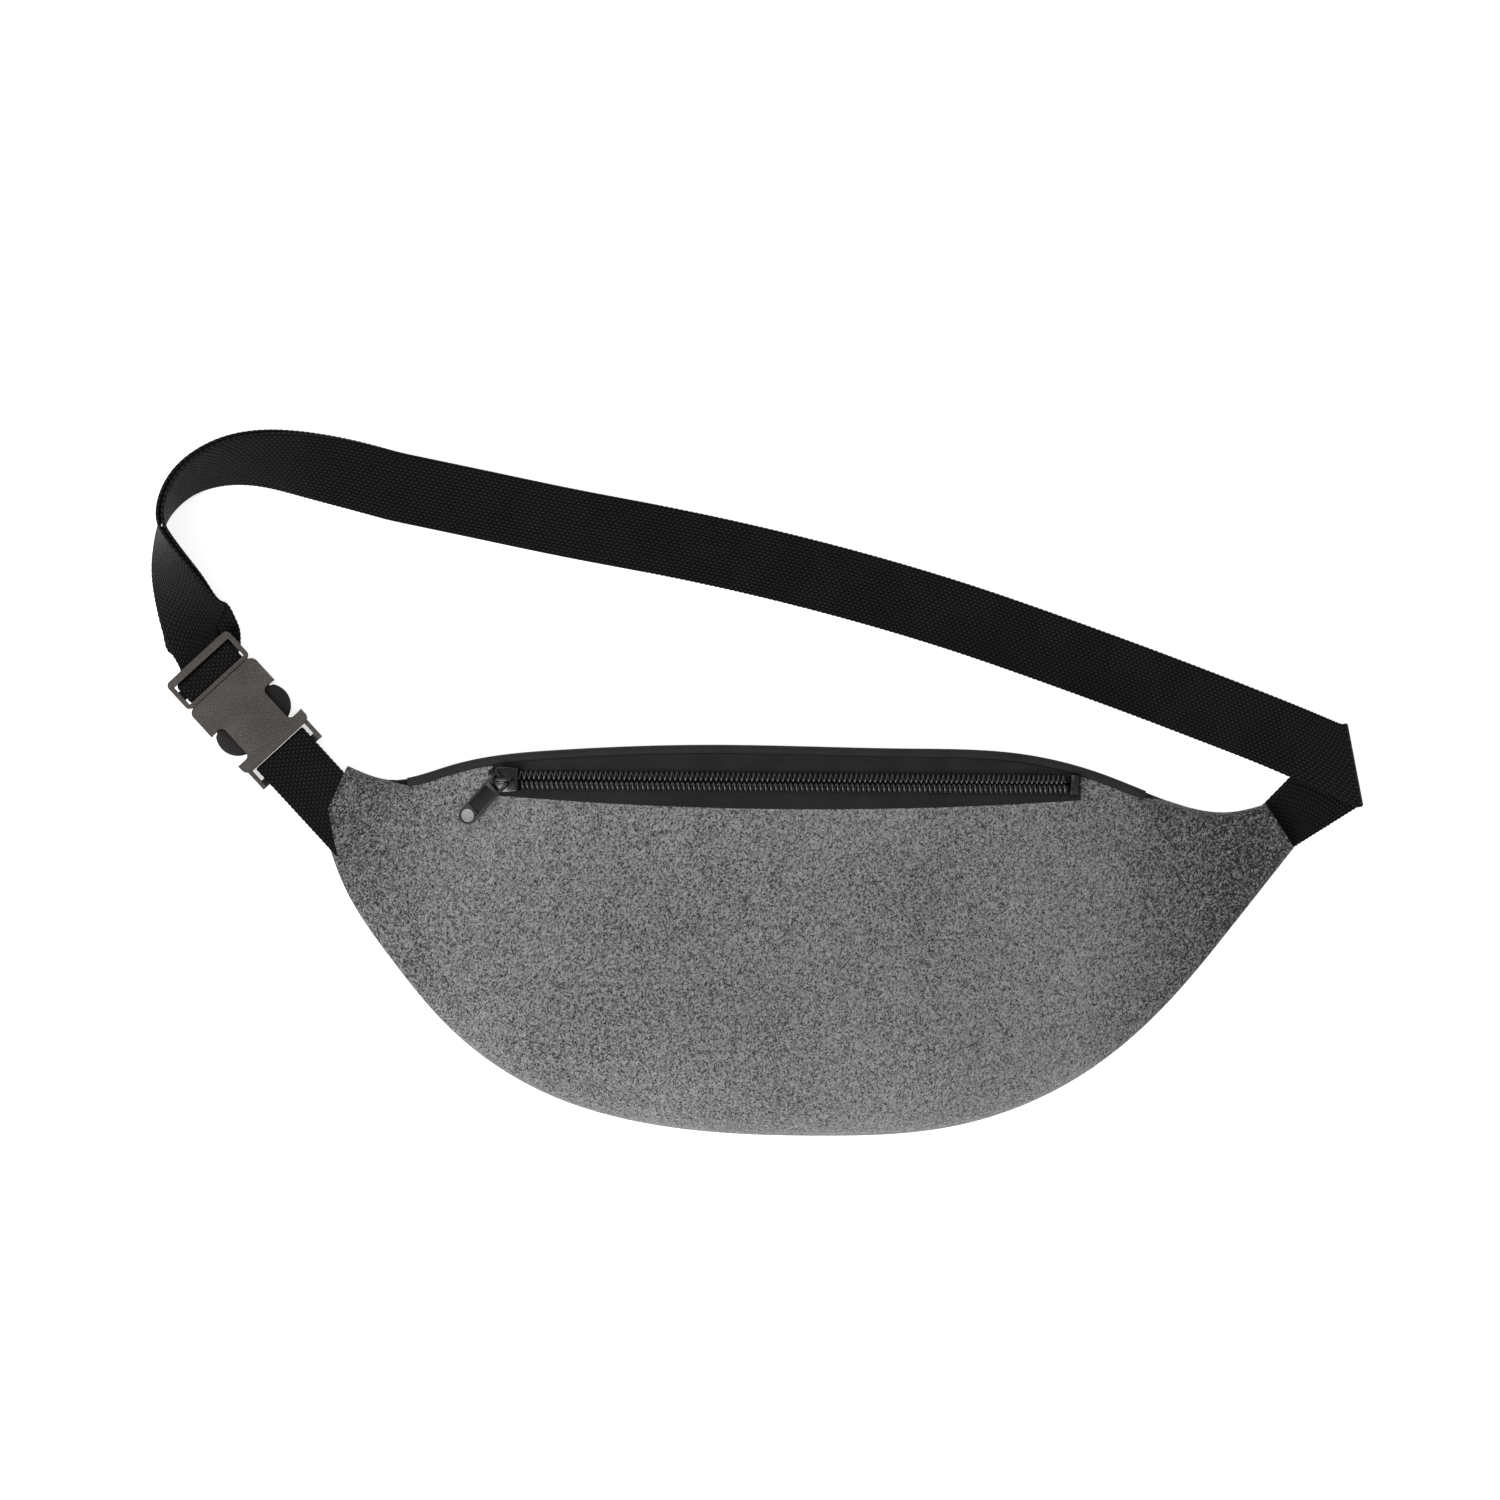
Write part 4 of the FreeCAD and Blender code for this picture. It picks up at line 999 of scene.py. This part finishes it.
    def build(self) -> None:
        """Makes the cast, bent and moulded pieces."""
        Piece("slider_cast", Body.SLIDER, LACQUER, "zip_metal", ("slider_body",)).make(self.cast())
        Piece("slider_bail_wire", Body.SLIDER, LACQUER, "zip_metal", ("slider_bail",)).make(
            wire(self.bail_line(), 0.6, 3))
        Piece("pull_moulded", Body.PULL, PULL_FINISH, "pull_plastic", ("pull_tab",)).make(
            eased("pull_tab", 0.16, 2))
        Piece("pull_disc", Body.PULL, DISC_REFLECTION_FINISH, "pull_plastic").make(self.disc_mesh())


# --- webbing ---------------------------------------------------------------------------------------
@dataclass
class Strip:
    """A strip of webbing along stations of two edge points each."""

    edges: np.ndarray
    width: float
    thickness: float
    scallop: float = 0.22       # how far the weave's turns stand out at each edge
    rib: float = 1.9

    def length(self) -> float:
        """Length along the strip's middle, in millimetres."""
        middle = (self.edges[:, :3] + self.edges[:, 3:]) / 2
        return float(np.linalg.norm(np.diff(middle, axis=0), axis=1).sum())

    def section(self) -> list[tuple[float, float, float]]:
        """Places round the strip's section: share of width, height and pattern."""
        flat = [-0.5 + k / 8 for k in range(9)]
        ring = [(w, 0.5, w * self.width) for w in flat]
        turn = [math.radians(a) for a in (60, 30, 0, -30, -60)]
        ends = [(0.5 + 0.5 * math.cos(a) * self.thickness / self.width, 0.5 * math.sin(a)) for a in turn]
        ring += [(w, h, self.width / 2 + 0.3) for w, h in ends]
        ring += [(-w, -0.5, -w * self.width) for w in flat]
        ring += [(-w, -h, -self.width / 2 - 0.3) for w, h in ends]
        return ring + ring[:1]

    def mesh(self) -> bmesh.types.BMesh:
        """The strip as a closed mesh with rounded, scalloped edges."""
        count = max(int(self.length() / (self.rib / 4)), 8) if self.scallop else 240
        line = evened(self.edges, count + 1)
        a, b = line[:, :3], line[:, 3:]
        middle, side = (a + b) / 2, b - a
        wide = np.linalg.norm(side, axis=1)[:, None]
        side = side / wide
        way = np.gradient(middle, axis=0)
        up = np.cross(way, side)
        up /= np.linalg.norm(up, axis=1)[:, None]
        run = np.linspace(0.0, self.length(), count + 1)
        hollow = self.scallop * (1 - np.abs(np.sin(math.pi * run / self.rib)))
        wave = 1 - (hollow + self.thickness / 2) * 2 / self.width
        ring = self.section()

        def place(i: int, j: int) -> np.ndarray:
            """A point on the strip's surface."""
            w, h, _ = ring[j]
            return middle[i] + side[i] * (w * wide[i] * wave[i]) + up[i] * (h * self.thickness)

        return grid(count, len(ring) - 1, place, lambda i, j: (run[i], ring[j][2]), tube=True)

    def make(self, piece: Piece, ride: bool = True) -> bpy.types.Object:
        """Makes the strip as a piece."""
        return piece.make(self.mesh(), ride)


@dataclass
class Belt:
    """The belt, one piece of webbing from the right end seam, through the buckle and back to its hem."""

    width: float = 26.0
    thick: float = 1.4
    gap: float = 0.5
    floor: float = 1.0          # middle of the lowest layer
    buckle: tuple[float, float] = (-229.2, 106.3)
    heading: float = -47.5
    tail_end: float = -70.0
    hem: float = 9.0
    turn: tuple = ((-156.8, 157.5, 80.4, 0), (-173.6, 162.0, 81, 9), (-190.5, 166.6, 84.5, 26),
                   (-201.8, 169.6, 89, 38), (-213.0, 171.0, 96, 49), (-223.0, 170.0, 107, 60),
                   (-230.6, 167.2, 122, 70), (-236.4, 162.8, 141, 80), (-240.8, 157.0, 166, 91),
                   (-243.2, 149.0, 184, 106), (-244.4, 140.0, 192, 122), (-244.0, 130.0, 195, 139),
                   (-242.4, 119.6, 200, 157))
    run: tuple = ((172.0, 64.9, 69, 1.6), (150.0, 73.6, 69, 1.3), (124.5, 83.4, 69.5, 0.6),
                  (90.8, 95.8, 70.5, 0.1), (57.0, 107.6, 72, 0), (12.0, 121.1, 74, 0), (-36.0, 132.9, 76.5, 0.2),
                  (-66.0, 139.0, 77.5, 1.0), (-89.3, 143.4, 78, 1.0), (-123.0, 150.4, 79, 1.0),
                  (-156.8, 157.5, 80.4, 1.0))
    crease: tuple = ((205.9, 49.9), (199.9, 81.4))
    seam: tuple = ((179.9, 33.7), (169.5, 50.4))     # tucked under the front panel's edge

    def station(self, x: float, y: float, bearing: float, lean: float, lift: float) -> tuple[float, ...]:
        """The two edge points of the webbing, as six numbers."""
        way, tilt = math.radians(bearing), math.radians(lean)
        z = self.floor + lift
        return (x, y, z, x + math.cos(tilt) * math.cos(way) * self.width,
                y + math.cos(tilt) * math.sin(way) * self.width, z + math.sin(tilt) * self.width)

    def at_buckle(self, s: float, z: float, half: float) -> tuple[float, ...]:
        """Two edge points at a place of the buckle's own line."""
        c, d = math.cos(math.radians(self.heading)), math.sin(math.radians(self.heading))
        found: list[float] = []
        for w in (-half, half):
            found += [self.buckle[0] + c * s - d * w, self.buckle[1] + d * s + c * w, z]
        return tuple(found)

    def skewed(self, near: tuple[float, float], far: tuple[float, float], low: float,
               high: float) -> tuple[float, ...]:
        """Two edge points given apart: each by its place along and across the buckle, and its height."""
        first, second = self.at_buckle(near[0], low, abs(near[1])), self.at_buckle(far[0], high, abs(far[1]))
        return (*(first[:3] if near[1] < 0 else first[3:]), *(second[:3] if far[1] < 0 else second[3:]))

    def offset(self, line: np.ndarray, amount: float) -> np.ndarray:
        """The same strip moved along its own normals."""
        a, b = line[:, :3], line[:, 3:]
        face = np.cross(np.gradient(a + b, axis=0), b - a)
        face *= amount / np.linalg.norm(face, axis=1)[:, None]
        return np.concatenate([a + face, b + face], axis=1)

    def bent(self, route: Sequence[tuple[float, float]], half: float, radius: float) -> np.ndarray:
        """Stations along a route in the buckle's line and height, its corners rounded."""
        points: list[tuple[float, float]] = [route[0]]
        for before, here, after in zip(route, route[1:], route[2:]):
            p, q, r = (np.array(k, float) for k in (before, here, after))
            near = min(radius, np.linalg.norm(q - p) / 2, np.linalg.norm(r - q) / 2)
            start = q + (p - q) / np.linalg.norm(p - q) * near
            end = q + (r - q) / np.linalg.norm(r - q) * near
            points += [tuple((1 - t) ** 2 * start + 2 * t * (1 - t) * q + t * t * end)
                       for t in np.linspace(0, 1, 6)]
        points.append(route[-1])
        return np.array([self.at_buckle(s, z, half) for s, z in points])

    def whole(self) -> np.ndarray:
        """Stations of the whole belt, from its sewn end to its hem."""
        lifted = self.thick + self.gap
        top = self.floor + 1.5 * lifted
        crease = np.array([self.crease[0] + (0.0,), self.crease[1] + (0.0,)])
        start = np.array([[*self.seam[0], self.floor + 1.0, *self.seam[1], self.floor + 1.0],
                          [*self.crease[0], self.floor, *self.crease[1], self.floor]])
        out = np.cross(crease[1] - crease[0], (0, 0, 1.0))
        out /= np.linalg.norm(out)
        fold = []
        for angle in np.radians(np.arange(0, 181, 20)):
            r = (top - self.floor) / 2
            rise = np.array([0, 0, self.floor + r * (1 - math.cos(angle))])
            move = out * (0.25 + r * math.sin(angle)) + rise
            fold.append(np.concatenate([crease[0] + move, crease[1] + move]))
        run = [tuple(np.concatenate([crease[0] + (0, 0, top), crease[1] + (0, 0, top)]))]
        run += [self.station(x, y, bearing, 0, lifted * lift) for x, y, bearing, lift in self.run]
        floor, level = self.floor, self.floor + lifted
        turn = [self.station(x, y, bearing, lean, lifted * max(math.cos(math.radians(lean)), 0))
                for x, y, bearing, lean in self.turn]
        turn.append(self.skewed((-9.5, -6.4), (-6.1, 22.4), floor + lifted * 0.95, floor + 4.2))
        load = [self.skewed((-5.5, -6.0), (-1.2, 21.0), floor + 0.6, floor + 1.2),
                self.skewed((0.5, -8.2), (3.6, 19.0), floor, floor + 0.1),
                self.skewed((6.0, -11.0), (7.6, 15.6), floor, floor)]
        tail = [self.skewed((-4.5, -6.6), (-4.2, 15.5), level + 0.3, level + 1.0),
                self.skewed((-1.4, -7.4), (-2.0, 12.0), level, level),
                self.skewed((1.6, -9.6), (1.4, 12.6), level, level)]
        turn_line, run_line = smooth_line(turn + load, 220), smooth_line(run, 260)
        upper = self.offset(smooth_line(turn, 160), lifted)[::-1]
        under = run_line[::-1][run_line[::-1][:, 0] < self.tail_end + self.hem][4:]
        under[:, 2] = under[:, 5] = floor
        route = [(9.0, floor), (10.85, floor), (10.85, 7.05), (4.25, 7.05), (4.25, level), (3.2, level)]
        loop = self.bent(route, self.width / 2, 1.2)
        into_tail = smooth_line([*loop[-1:], *reversed(tail), *upper[6:10]], 60)
        return np.concatenate([start, fold[1:], run_line[2:-2], turn_line[1:], loop, into_tail[1:-1],
                               upper[10:-2], under])

    def build(self) -> None:
        """Makes the belt and the buckle's tab webbing."""
        strip = Strip(self.whole(), self.width, self.thick)
        nodes = ("belt_end", "belt_fold", "belt_long_run", "belt_turn", "belt_bar_wrap", "tail_turn",
                 "tail_run", "tail_hem")
        belt = strip.make(Piece("belt_webbing", Body.BAG, BELT_WEB, "webbing", nodes), ride=False)
        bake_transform(belt)
        strip.length() / METRE
        low, high = self.floor, 6.75
        route = [(92.0, low + 1.4), (61.6, low), (46.6, low), (46.6, high), (56.5, high), (92.0, low + 3.4)]
        tab = Strip(self.bent(route, 11.8, 1.5), 23.6, self.thick)
        piece = tab.make(Piece("tab_webbing_loop", Body.BAG, BELT_WEB, "webbing", ("tab_webbing",)))
        tab.length() / METRE


@dataclass
class Buckle:
    """The moulded halves of the buckle and the plug's two prongs."""

    ease: float = 0.35

    def build(self) -> None:
        """Makes the four moulded pieces."""
        parts = (("buckle_socket", Body.BAG, BUCKLE_FINISH), ("buckle_plug", Body.PLUG, BUCKLE_FINISH),
                 ("prong_left", Body.PRONG_LEFT, PRONG_FINISH),
                 ("prong_right", Body.PRONG_RIGHT, PRONG_FINISH))
        for node, body, finish in parts:
            Piece(node + "_moulded", body, finish, "buckle_plastic", (node,)).make(eased(node, self.ease, 3))


# --- studio -----------------------------------------------------------------------------------------
@dataclass
class Studio:
    """Pale floor, soft lights and the camera overhead."""

    middle: tuple[float, float] = (-0.02175, 0.0716)
    field: float = 0.5625       # width of the view at the floor
    lens: float = 250.0

    def light(self, name: str, place: tuple[float, float, float], power: float, size: float) -> None:
        """An area light that faces the object."""
        data = bpy.data.lights.new(name, "AREA")
        data.energy, data.size = power, size
        lamp = bpy.data.objects.new(name, data)
        lamp.location = place
        lamp.rotation_euler = (Vector((0, 0.05, 0)) - Vector(place)).to_track_quat("-Z", "Y").to_euler()
        bpy.context.scene.collection.objects.link(lamp)

    def build(self) -> None:
        """Makes the floor, the lights, the sky's fill and the camera."""
        bm = bmesh.new()
        bmesh.ops.create_grid(bm, x_segments=8, y_segments=8, size=6.0)
        mesh = bpy.data.meshes.new("floor")
        bm.to_mesh(mesh)
        bm.free()
        mesh.materials.append(FLOOR_PAPER.material())
        floor = bpy.data.objects.new("floor", mesh)
        bpy.context.scene.collection.objects.link(floor)
        self.light("key", (-1.4, -1.1, 1.6), 60.0, 1.4)
        self.light("fill", (0.9, 1.2, 1.7), 10.0, 1.4)
        world = bpy.data.worlds.new("studio")
        world.use_nodes = True
        world.node_tree.nodes["Background"].inputs[0].default_value = (1.0, 1.0, 1.0, 1.0)
        world.node_tree.nodes["Background"].inputs[1].default_value = 0.55
        scene = bpy.context.scene
        scene.world = world
        scene.view_settings.view_transform = "Standard"
        data = bpy.data.cameras.new("camera")
        data.lens, data.sensor_width = self.lens, 36.0
        data.clip_start, data.clip_end = 0.05, 50.0
        camera = bpy.data.objects.new("camera", data)
        camera.location = (*self.middle, self.field * self.lens / 36.0)
        scene.collection.objects.link(camera)
        scene.camera = camera


def main() -> None:
    """Builds every sub-assembly in order."""
    logging.basicConfig(level=logging.INFO, format="%(name)s %(message)s")
    form = Form()
    for part in (FrontPanel(form), BackAndTop(form), Zip(form), Slider(form), Belt(), Buckle(), Studio()):
        log.info("building %s", type(part).__name__)
        part.build()


if __name__ == "__main__":
    main()
